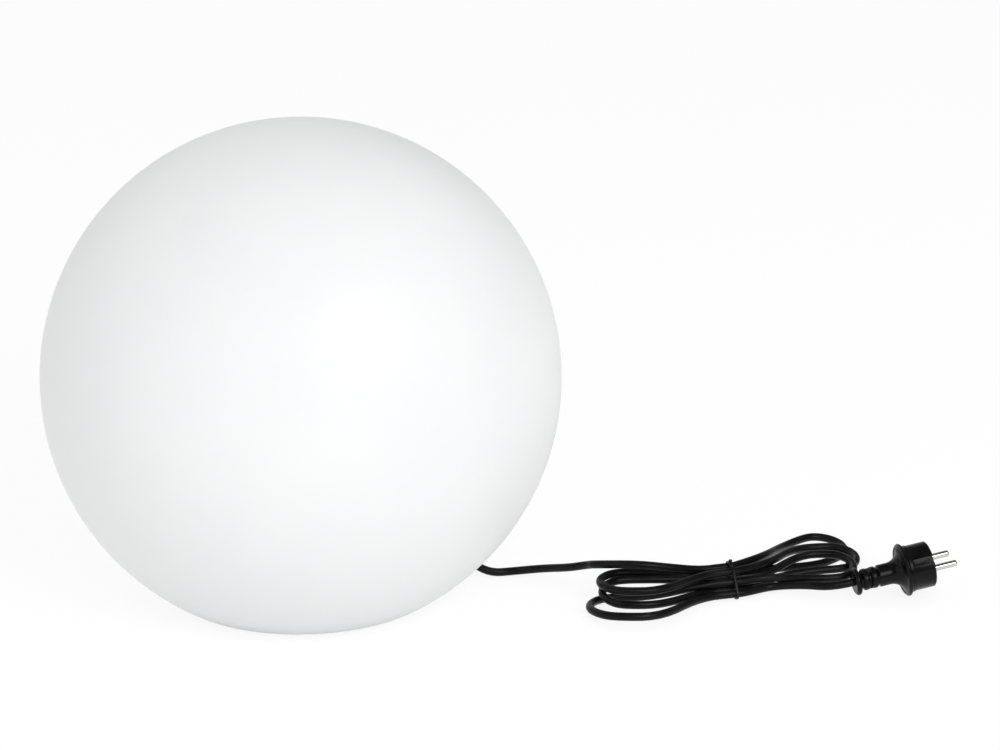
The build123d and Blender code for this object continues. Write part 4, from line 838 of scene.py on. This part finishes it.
class Plug(Piece):
    """The moulded plug: sleeve with rings, neck, flare, collar, body, carrier and pins."""

    sizes = PlugSizes()

    def _profile(self) -> list[tuple[float, float]]:
        """The moulding's section.

        Returns:
            Its (radius, height) points, from the tail to the front rim and down the carrier's seat.
        """
        s = self.sizes
        rim_inset, face_inset = s.flange_insets
        sleeve_at = s.tail_at + s.flange_width
        points = [(0.0, s.tail_at), (s.flange_radius - face_inset, s.tail_at),
                  *arc_points((s.flange_radius - rim_inset, s.tail_at + s.flange_rounding), s.flange_rounding,
                              -80.0, 80.0, 10),
                  (s.core_radius + s.core_edge[0], sleeve_at), (s.core_radius, sleeve_at + s.core_edge[1])]
        crest, flank = s.ring_radius - s.ring_rounding, s.ring_half - s.ring_rounding
        for middle in s.rings:
            points += [(s.core_radius, middle - s.ring_half), (crest, middle - s.ring_half),
                       *arc_points((crest, middle - flank), s.ring_rounding, -75.0, 0.0, 6),
                       *arc_points((crest, middle + flank), s.ring_rounding, 0.0, 75.0, 6),
                       (crest, middle + s.ring_half), (s.core_radius, middle + s.ring_half)]
        points += [(s.core_radius, s.neck_at), (s.neck_radius - s.neck_edge, s.neck_at),
                   (s.neck_radius, s.neck_at + s.neck_edge)]
        # the flare turns up steeply into the collar's back
        points += arc_points((s.neck_radius + s.flare_radius, s.flare_at), s.flare_radius, 180.0, 98.0, 18)
        points += [(s.collar_radius - s.collar_back[0], -s.collar_half - s.collar_back[1]),
                   *arc_points((s.collar_radius - s.collar_half, 0.0), s.collar_half, -80.0, 80.0, 8),
                   (s.collar_radius - s.collar_front[0], s.collar_half + s.collar_front[1]),
                   (s.body_radius + s.body_foot[0], s.body_at - s.body_foot[1]),
                   (s.body_radius, s.body_at), (s.body_radius, s.face_at - s.face_edge),
                   (s.body_radius - s.face_edge, s.face_at), (s.carrier_radius + s.carrier_edge, s.face_at),
                   (s.carrier_radius, s.face_at - s.carrier_edge), (s.carrier_radius, s.face_at - s.carrier_depth),
                   (0.0, s.face_at - s.carrier_depth)]
        return points

    def build(self) -> list[bpy.types.Object]:
        """Makes the plug.

        Returns:
            Its pieces.
        """
        s = self.sizes
        moulding = turned("plug_moulding", self._profile(), 128, s.place)
        for half in (0.0, 180.0):
            turn = Matrix.Rotation(math.radians(half - s.guide_turn), 4, "Z")
            local = turn @ Matrix.Translation((s.body_radius, 0.0, s.face_at - s.guide_length / 2 + MM))
            guide = block("guide", (2 * s.guide_depth, s.guide_width, s.guide_length + 2 * MM), s.place @ local,
                          s.guide_edge)
            combine(moulding, guide, Joining.CUTS)
        # webs join the sleeve's rings, turned a quarter from one gap to the next
        rims = [middle + side * s.ring_half for middle in s.rings for side in (-1, 1)]
        ends = [s.tail_at + s.flange_width, *rims, s.neck_at]
        for number, (low, high) in enumerate(zip(ends[::2], ends[1::2])):
            turn = Matrix.Rotation(math.radians(90.0 * (number % 2)), 4, "Z")
            local = turn @ Matrix.Translation((0.0, 0.0, (low + high) / 2))
            size = (2 * (s.ring_radius - s.web_inset), s.web_width, high - low + 2 * s.web_overlap)
            combine(moulding, block("web", size, s.place @ local), Joining.ADDS)
        smooth_over(moulding, 32.0)
        self.place(moulding, "base", Finishes.PLUG, "plug", "plug_body")
        pair = joined("pin_pair", [self._pin(side) for side in (-1, 1)])
        smooth_over(pair, 40.0)
        self.place(pair, "base", Finishes.NICKEL, "pins", "plug_pins")
        self.finishes.dress_nodes(Finishes.PLUG, "plug_insert")
        return [moulding, pair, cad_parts["plug_insert"]]

    def _pin(self, side: int) -> bpy.types.Object:
        """One pin with its domed tip.

        Args:
            side: -1 or 1, the side of the plug's axis.

        Returns:
            The new object.
        """
        s = self.sizes
        root = s.face_at - s.carrier_depth + s.pin_gap
        tip = s.face_at + s.pin_length
        dome = (s.pin_radius - s.pin_rounding, tip - s.pin_rounding)
        profile = [(0.0, root), (s.pin_radius, root), (s.pin_radius, dome[1]),
                   *arc_points(dome, s.pin_rounding, 10.0, 80.0, 6), (0.0, tip)]
        return turned(f"pin_{side}", profile, 48, s.place @ Matrix.Translation((side * s.pin_spacing / 2, 0.0, 0.0)))


# ------------------------------------------------------------------------ mains lead
@dataclass(frozen=True)
class Strand:
    """One strand in the bundle's waist: place across it, row, and its turn at each end in degrees."""

    across: float
    row: int
    left_fan: float
    fan: float


@dataclass(frozen=True)
class Fold:
    """One fold of the bundle: its half turn's place, half width, two heights and lean."""

    side: Side
    reach: float
    offset: float
    half_width: float
    first_height: float
    last_height: float
    lean: float


@dataclass(frozen=True)
class LeadSizes:
    """The mains lead, in millimetres as measured, turned into metres where it is drawn."""

    diameter: float = 6.2
    drawn_diameter: float = 6.4
    boot_tip: float = 114.0
    straight_run: float = 17.0
    tie_at: tuple[float, float] = (337.5, -22.7)
    turn: float = 13.3
    waist_half: float = 5.9
    waist_floor: float = 4.7
    waist_row: float = 6.96
    strands: tuple[Strand, ...] = (
        Strand(8.6, 2, 3.2, 25.7), Strand(10.7, 1, 0.7, 4.1), Strand(-1.4, 2, 4.0, 19.1),
        Strand(-6.5, 0, -2.5, 31.8), Strand(2.7, 1, -1.2, -0.4), Strand(-6.7, 1, -1.4, 9.0),
        Strand(-13.0, 0, 1.1, 15.3),
    )
    folds: tuple[Fold, ...] = (
        Fold(Side.RIGHT, 89.1, 58.8, 20.0, 7.1, 3.4, 30.7),
        Fold(Side.LEFT, 88.9, -2.7, 21.8, 17.5, 20.0, 11.4),
        Fold(Side.RIGHT, 86.2, 26.0, 20.5, 11.5, 9.1, -3.6),
        Fold(Side.LEFT, 89.5, -7.0, 20.5, 9.8, 13.6, 11.2),
        Fold(Side.RIGHT, 76.0, 0.8, 19.1, 16.9, 12.3, -8.5),
        Fold(Side.LEFT, 97.9, -20.3, 25.3, 3.2, 8.8, 13.2),
    )
    lead_route: tuple[tuple[float, float, float], ...] = (
        (127.0, 12.4, 12.4), (144.0, 7.5, 3.4), (164.0, 11.8, 3.4), (187.0, 6.0, 8.2), (206.4, -10.6, 15.7),
        (221.6, -17.8, 21.3), (226.7, -29.5, 26.4), (258.3, -37.5, 29.9), (282.3, -33.4, 25.6),
    )
    tail_route: tuple[tuple[float, float, float], ...] = ((389.0, -31.7, 10.1),)
    turn_points: int = 6
    steps: int = 5


class MainsLead(Piece):
    """The whole lead on one smooth line: from the boot, through the tied bundle, to the plug."""

    sizes = LeadSizes()

    def _bundle_point(self, along: float, across: float, height: float) -> Vector:
        """A point in the bundle's own directions.

        Args:
            along: how far from the middle of its waist towards the plug.
            across: how far to the back.
            height: how far above the ground.

        Returns:
            The point.
        """
        s = self.sizes
        flat = heading(s.turn) * along + heading(s.turn + 90.0) * across
        return Vector((*s.tie_at, height)) + flat

    def _strand_end(self, number: int, side: Side) -> tuple[Vector, Vector]:
        """Where a strand leaves the waist.

        Args:
            number: which strand.
            side: at which end of the waist.

        Returns:
            The point, and the heading to the right there.
        """
        s = self.sizes
        strand = s.strands[number]
        fan = strand.left_fan if side is Side.LEFT else strand.fan
        drift = side.value * 2 * s.waist_half * math.tan(math.radians(fan / 2))
        height = s.waist_floor + strand.row * s.waist_row
        return self._bundle_point(side.value * s.waist_half, strand.across + drift, height), heading(s.turn + fan)

    @staticmethod
    def _bend(start: Vector, way: Vector, end: Vector, end_way: Vector) -> list[Vector]:
        """The two corners of an even bend.

        Args:
            start: its first point.
            way: the heading there.
            end: its last point.
            end_way: the heading there.

        Returns:
            The corners.
        """
        reach = end - start
        spread = 2 * (1 - way.dot(end_way))
        if spread < 1e-6:
            arm = reach.dot(reach) / (4 * reach.dot(end_way))
        else:
            along = reach.dot(way + end_way)
            arm = (math.sqrt(along**2 + spread * reach.dot(reach)) - along) / spread
        return [start + arm * way, end - arm * end_way]

    def _fold_points(self, number: int) -> list[Vector]:
        """The control points of one fold, out from the waist, round its half turn and back.

        Args:
            number: which fold.

        Returns:
            The points.
        """
        s = self.sizes
        fold = s.folds[number]
        side = fold.side.value
        start, start_way = self._strand_end(number, fold.side)
        end, end_way = self._strand_end(number + 1, fold.side)
        way = side * heading(s.turn + side * fold.lean)
        across = heading(s.turn + side * fold.lean + 90.0)
        turn_side = 1 if (start - end).dot(heading(s.turn + 90.0)) > 0 else -1
        centre = self._bundle_point(side * fold.reach, fold.offset, (fold.first_height + fold.last_height) / 2)
        spoke = turn_side * fold.half_width * across + UP * ((fold.first_height - fold.last_height) / 2)
        points = self._bend(start, side * start_way, centre + spoke, way)
        step = math.pi / s.turn_points
        for n in range(s.turn_points):
            angle = (n + 0.5) * step
            swing = math.cos(angle) * spoke + math.sin(angle) * spoke.length * way
            points.append(centre + swing / math.cos(step / 2))
        return points + self._bend(centre - spoke, -way, end, -side * end_way)

    def _crossing(self, number: int, side: Side) -> list[Vector]:
        """The control points of one strand through the waist.

        Args:
            number: which strand.
            side: the side it runs to.

        Returns:
            The points.
        """
        left, left_way = self._strand_end(number, Side.LEFT)
        right, right_way = self._strand_end(number, Side.RIGHT)
        if side is Side.RIGHT:
            return self._bend(left, left_way, right, right_way)
        return self._bend(right, -right_way, left, -left_way)

    def route(self, plug: PlugSizes) -> list[Vector]:
        """The control points of the whole lead.

        Args:
            plug: the plug's sizes, for where the lead enters it.

        Returns:
            The points in metres.
        """
        s = self.sizes
        boot = heading(EXIT_ANGLE) * s.boot_tip + UP * (EXIT_HEIGHT / MM)
        start, start_way = self._strand_end(0, Side.LEFT)
        start -= s.diameter * start_way
        end, end_way = self._strand_end(len(s.folds), Side.RIGHT)
        end += s.diameter * end_way
        tail = plug.along(plug.tail_at) / MM
        points = [boot, *map(Vector, s.lead_route), start - s.straight_run * start_way, start]
        for number, fold in enumerate(s.folds):
            points += self._crossing(number, fold.side) + self._fold_points(number)
        points += self._crossing(len(s.folds), Side.RIGHT)
        points += [end, end + s.straight_run * end_way, *map(Vector, s.tail_route)]
        points += [tail - s.straight_run * plug.axis, tail]
        return [point * MM for point in points]

    def crossings(self, plug: PlugSizes, origin: Vector, along: Vector, reach: float) -> list[Vector]:
        """Where the lead's line passes through an upright plane across the bundle.

        Args:
            plug: the plug's sizes.
            origin: a point of the plane.
            along: the plane's direction.
            reach: how far from the point to look, in metres.

        Returns:
            The places in metres.
        """
        bare = smooth_line("bare_line", self.route(plug), 0.0, 0, self.sizes.steps)
        line = bpy.data.meshes.new_from_object(bare)
        points = [Vector(vertex.co) for vertex in line.vertices]
        bpy.data.objects.remove(bare)
        bpy.data.meshes.remove(line)
        found = []
        for first, second in zip(points, points[1:]):
            before, after = (first - origin).dot(along), (second - origin).dot(along)
            if before * after <= 0.0 and before != after and (first - origin).length < reach:
                found.append(first.lerp(second, before / (before - after)))
        return found

    def build(self, plug: PlugSizes, carried: list[bpy.types.Object]) -> None:
        """Args:
            plug: the plug's sizes.
            carried: the pieces on the lead, not used.
        """
        points = self.route(plug)
        lead = smooth_line("mains_lead", points, self.sizes.drawn_diameter * MM, 6, self.sizes.steps)
        self.place(lead, "base", Finishes.CORD, "cord", "cord_lead", "cord_hank", "cord_tail")


# ------------------------------------------------------------------------------- tie
@dataclass(frozen=True)
class TieSizes:
    """The tie's sizes, in metres, and its place in millimetres."""

    at: tuple[float, float] = (333.0, -22.9)
    reach: float = 0.03
    gap: float = 0.00035
    thickness: float = 0.0011
    wall: float = 0.00099
    width: float = 0.0022
    edge: float = 0.0003
    points: int = 120
    wire_radius: float = 0.0006
    knot_radius: float = 0.0009
    knot_length: float = 0.0036
    knot_turns: float = 1.6
    knot_points: int = 25
    knot_inset: float = 0.0035
    knot_lean: float = 0.3
    knot_back: float = 0.4


class BundleTie(Piece):
    """The coated wire tie, taut round the waist, twisted together on top."""

    sizes = TieSizes()

    def build(self, lead: MainsLead, plug: PlugSizes) -> list[bpy.types.Object]:
        """Makes the tie round the lead's strands.

        Args:
            lead: the lead, for where its strands pass.
            plug: the plug's sizes, for the lead's end.

        Returns:
            Its pieces.
        """
        t, s = self.sizes, lead.sizes
        along, across = heading(s.turn), heading(s.turn + 90.0)
        origin = Vector((*t.at, 0.0)) * MM
        middles = [((spot - origin).dot(across), spot.z) for spot in lead.crossings(plug, origin, along, t.reach)]
        outline = self._taut_outline(middles, s.drawn_diameter / 2 * MM + t.gap)
        deselect_everything()
        bpy.ops.mesh.primitive_circle_add(vertices=len(outline))
        band = named("tie_band")
        for vertex, (side, height) in zip(band.data.vertices, outline):
            vertex.co = origin + side * across + UP * height - along * t.width / 2
        bpy.ops.object.mode_set(mode="EDIT")
        bpy.ops.mesh.select_all(action="SELECT")
        bpy.ops.mesh.extrude_region_move(TRANSFORM_OT_translate={"value": tuple(along * t.width)})
        bpy.ops.mesh.select_all(action="SELECT")
        bpy.ops.mesh.normals_make_consistent(inside=False)
        bpy.ops.object.mode_set(mode="OBJECT")
        finish_with(band, "SOLIDIFY", thickness=t.wall, offset=1.0)
        finish_with(band, "BEVEL", width=t.edge, segments=2, limit_method="ANGLE")
        # the knot stands on the strand that lies highest and furthest back
        top = max(middles, key=lambda spot: spot[1] + t.knot_back * spot[0])
        height = top[1] + s.diameter / 2 * MM + t.gap + t.thickness / 2
        knot = self._knot(origin + (top[0] - t.knot_inset) * across + UP * height, UP - t.knot_lean * across)
        tie = joined("bundle_tie", [band, knot])
        smooth_over(tie, 40.0)
        self.place(tie, "base", Finishes.TIE, "tie", "cord_tie")
        return [tie]

    def _taut_outline(self, middles: list[tuple[float, float]], reach: float) -> list[tuple[float, float]]:
        """The taut line round circles, as a closed ring of points.

        Args:
            middles: the circles' middles.
            reach: their radius.

        Returns:
            The ring's points in order.
        """
        ring = []
        for n in range(self.sizes.points):
            angle = math.tau * n / self.sizes.points
            x, y = math.cos(angle), math.sin(angle)
            outer = max(middles, key=lambda m: m[0] * x + m[1] * y)
            ring.append((outer[0] + reach * x, outer[1] + reach * y))
        return ring

    def _knot(self, foot: Vector, way: Vector) -> bpy.types.Object:
        """Two wire ends twisted round each other.

        Args:
            foot: where they start.
            way: which way they stand.

        Returns:
            One mesh of both ends.
        """
        t = self.sizes
        place = facing(foot, way, Vector((1, 0, 0)))
        ends = []
        for phase in (0.0, math.pi):
            points = []
            for n in range(t.knot_points):
                share = n / (t.knot_points - 1)
                angle = phase + math.tau * t.knot_turns * share
                points.append(place @ Vector((t.knot_radius * math.cos(angle), t.knot_radius * math.sin(angle),
                                              share * t.knot_length)))
            end = smooth_line("wire_end", points, 2 * t.wire_radius, 3, 12)
            select_only(end)
            bpy.ops.object.convert(target="MESH")
            ends.append(bpy.context.object)
        return joined("tie_knot", ends)


# ------------------------------------------------------------------------------ base
@dataclass(frozen=True)
class BootSizes:
    """The lead's boot, in metres."""

    root: float = 0.08
    wall: float = 0.003
    length: float = 0.034
    root_radius: float = 0.0056
    tip_radius: float = 0.0042
    flange_radius: float = 0.0072
    flange_width: float = 0.002
    edge: float = 0.0004
    groove_radius: float = 0.0058
    groove_depth: float = 0.0007
    groove_share: tuple[float, float, float] = (0.62, 0.7, 0.93)
    ring_fall: float = 0.00015
    groove_fall: float = 0.00005
    tip_edge: tuple[float, float] = (0.0006, 0.0007)
    bore: float = 0.00312
    rings: int = 5


class Base(Piece):
    """The black base under the globe, with its cover, pads, screws and the lead's boot."""

    boot = BootSizes()

    def build(self) -> None:
        """Dresses the base's nodes and makes the boot."""
        dress = self.finishes.dress_nodes
        dress(Finishes.BASE, "base_housing", "base_cover")
        dress(Finishes.SEAL, "base_gasket", "foot_pads")
        dress(Finishes.STEEL, "base_screws", "cover_screws", "clamp_screws", "post_screws")
        dress(Finishes.BRASS, "threaded_inserts")
        dress(Finishes.HOLDER, "cord_clamp")
        dress(Finishes.CORD, "cord_inner")
        dress(Finishes.LIVE, "wire_live")
        dress(Finishes.NEUTRAL, "wire_neutral")
        self._boot()

    def _boot(self) -> None:
        """The tapered boot: flanges either side of the housing's wall, then a ringed taper."""
        b = self.boot
        wide, flange = b.flange_radius, b.flange_width
        inside = math.sqrt((b.root - b.wall)**2 - wide**2) - b.root
        profile = [(b.bore, inside - flange), (wide - b.edge, inside - flange), (wide, inside - flange + b.edge),
                   (wide, inside), (b.groove_radius, inside), (b.groove_radius, 0.0), (wide, 0.0),
                   (wide, flange - b.edge), (wide - b.edge, flange)]
        step = (b.length - flange) / (b.rings + 1)
        for n in range(b.rings + 1):
            foot = flange + n * step
            outer = b.root_radius + (b.tip_radius - b.root_radius) * foot / b.length
            groove = outer - b.groove_depth
            ring_end, groove_from, groove_end = (foot + step * share for share in b.groove_share)
            profile += [(outer, foot + b.edge), (outer - b.ring_fall, ring_end), (groove, groove_from),
                        (groove - b.groove_fall, groove_end)]
        profile += [(b.tip_radius, b.length - b.tip_edge[1]), (b.tip_radius - b.tip_edge[0], b.length),
                    (b.bore, b.length), (b.bore, inside - flange)]
        out = heading(EXIT_ANGLE)
        boot = turned("lead_boot", profile, 64, facing(out * b.root + UP * EXIT_HEIGHT, out, UP))
        self.place(boot, "base", Finishes.SEAL, "seal", "strain_relief")


class LampPost(Piece):
    """The white post with the lamp holder on top."""

    def build(self) -> None:
        """Dresses the post's and the holder's nodes."""
        dress = self.finishes.dress_nodes
        dress(Finishes.POST, "lamp_post")
        dress(Finishes.HOLDER, "holder_cup", "holder_shell")
        dress(Finishes.BRASS, "holder_nipple", "nipple_nut", "holder_terminals", "centre_contact")
        dress(Finishes.CERAMIC, "contact_block")
        dress(Finishes.CAP, "screw_sleeve")


@dataclass(frozen=True)
class LampSizes:
    """The lamp's sizes, in metres."""

    top_z: float = 0.2151
    radius: float = 0.03
    skin: float = 0.0014
    foot_z: float = 0.1679


class Lamp(Piece):
    """The lamp in the holder: cap, housing, board and opal dome."""

    sizes = LampSizes()

    def build(self) -> None:
        """Dresses the lamp's nodes and turns a smooth dome for its diffuser."""
        dress = self.finishes.dress_nodes
        dress(Finishes.CAP, "bulb_contact", "bulb_cap")
        dress(Finishes.INSULATOR, "bulb_insulator")
        dress(Finishes.LAMP, "bulb_housing")
        dress(Finishes.BOARD, "led_board")
        s = self.sizes
        centre = s.top_z - s.radius
        inner = s.radius - s.skin
        profile = arc_points((0.0, centre), s.radius, 90.0, 0.0, 28)
        profile += [(s.radius - s.skin, s.foot_z), (inner - s.skin, s.foot_z)]
        profile += arc_points((0.0, centre), inner, 0.0, 90.0, 24)
        dome = turned("lamp_dome", profile, 96)
        self.place(dome, "bulb", Finishes.OPAL, "diffuser", "bulb_diffuser")


# ----------------------------------------------------------------------------- stage
@dataclass(frozen=True)
class Shot:
    """The photograph's camera."""

    place: tuple[float, float, float] = (0.1524, -2.0797, 0.8881)
    elevation: float = 19.0
    lens: float = 102.74
    sensor: float = 36.0
    far: float = 50.0

    def build(self) -> None:
        """Adds the camera and makes it the scene's own."""
        data = bpy.data.cameras.new("photograph")
        data.lens = self.lens
        data.sensor_width = self.sensor
        data.clip_end = self.far
        camera = in_scene("photograph", data)
        camera.location = self.place
        camera.rotation_euler = (math.radians(90.0 - self.elevation), 0.0, 0.0)
        bpy.context.scene.camera = camera


@dataclass(frozen=True)
class SoftBox:
    """One soft lamp."""

    name: str
    place: tuple[float, float, float]
    aim: tuple[float, float, float]
    size: float
    power: float


@dataclass
class Studio:
    """The pale floor, the soft lamps and the world."""

    lamps: list[SoftBox] = field(default_factory=lambda: [
        SoftBox("key", (1.5, -2.3, 1.9), (0.1, 0.0, 0.15), 1.6, 44.0),
        SoftBox("fill", (-1.6, -1.9, 1.0), (0.0, 0.0, 0.15), 2.0, 9.8),
    ])
    ambient: float = 0.7
    backdrop_way: tuple[float, float, float] = (-0.75, 0.62, -0.25)
    backdrop_edge: tuple[float, float, float, float] = (0.3, 0.7, 0.15, 1.0)
    floor_size: float = 60.0
    floor_drop: float = 0.0002
    floor_tone: float = 0.93
    floor_glow: float = 1.02
    floor_seen: float = 0.85

    def build(self) -> None:
        """Builds the floor, the world and the lamps."""
        self._floor()
        self._world()
        for lamp in self.lamps:
            data = bpy.data.lights.new(lamp.name, "AREA")
            data.energy = lamp.power
            data.size = lamp.size
            light = in_scene(lamp.name, data)
            light.location = lamp.place
            light.rotation_euler = (Vector(lamp.aim) - Vector(lamp.place)).to_track_quat("-Z", "Y").to_euler()

    def _floor(self) -> None:
        """A wide pale floor that keeps the object's shadow."""
        deselect_everything()
        bpy.ops.mesh.primitive_plane_add(size=self.floor_size, location=(0.0, 0.0, -self.floor_drop))
        floor = named("floor")
        settle(floor)
        material = bpy.data.materials.new("pale_floor")
        material.use_nodes = True
        tree = material.node_tree
        shader = tree.nodes["Principled BSDF"]
        feed(tree, shader, {"Base Color": (*[self.floor_tone] * 3, 1.0), "Roughness": 0.9, "Specular IOR Level": 0.0})
        glow = wired(tree, "Emission", {"Strength": self.floor_glow})
        seen = wired(tree, "Math", {0: seen_rays(tree), 1: self.floor_seen}, operation="MULTIPLY")
        mix = wired(tree, "MixShader", {"Fac": seen.outputs["Value"], 1: shader.outputs["BSDF"],
                                        2: glow.outputs["Emission"]})
        feed(tree, tree.nodes["Material Output"], {"Surface": mix.outputs["Shader"]})
        floor.data.materials.append(material)

    def _world(self) -> None:
        """A plain soft surround, white where it is seen."""
        world = bpy.data.worlds.new("surround")
        world.use_nodes = True
        tree = world.node_tree
        light = tree.nodes["Background"]
        feed(tree, light, {"Color": WHITE, "Strength": self.ambient})
        # gloss shows a white backdrop at the back and left, and a dim room elsewhere
        where = wired(tree, "TexCoord").outputs["Generated"]
        towards = wired(tree, "VectorMath", {0: where, 1: self.backdrop_way}, operation="DOT_PRODUCT")
        edge = wired(tree, "MapRange", {"Value": towards.outputs["Value"],
                                        **dict(zip(("From Min", "From Max", "To Min", "To Max"), self.backdrop_edge))})
        level = wired(tree, "Math", {0: wired(tree, "LightPath").outputs["Is Camera Ray"],
                                     1: edge.outputs["Result"]}, operation="MAXIMUM")
        white = wired(tree, "Background", {"Color": WHITE, "Strength": level.outputs["Value"]})
        mix = wired(tree, "MixShader", {"Fac": seen_rays(tree), 1: light.outputs["Background"],
                                        2: white.outputs["Background"]})
        feed(tree, tree.nodes["World Output"], {"Surface": mix.outputs["Shader"]})
        bpy.context.scene.world = world


def main() -> None:
    """Builds the light, its finishes and the studio."""
    logging.basicConfig(level=logging.INFO, format="%(name)s: %(message)s")
    bpy.context.scene.view_settings.view_transform = "Standard"
    Shot().build()
    finishes = Finishes()
    plug = Plug(finishes)
    lead = MainsLead(finishes)
    carried = plug.build() + BundleTie(finishes).build(lead, plug.sizes)
    lead.build(plug.sizes, carried)
    Globe(finishes).build()
    Base(finishes).build()
    LampPost(finishes).build()
    Lamp(finishes).build()
    Studio().build()
    deselect_everything()


if __name__ == "__main__":
    main()
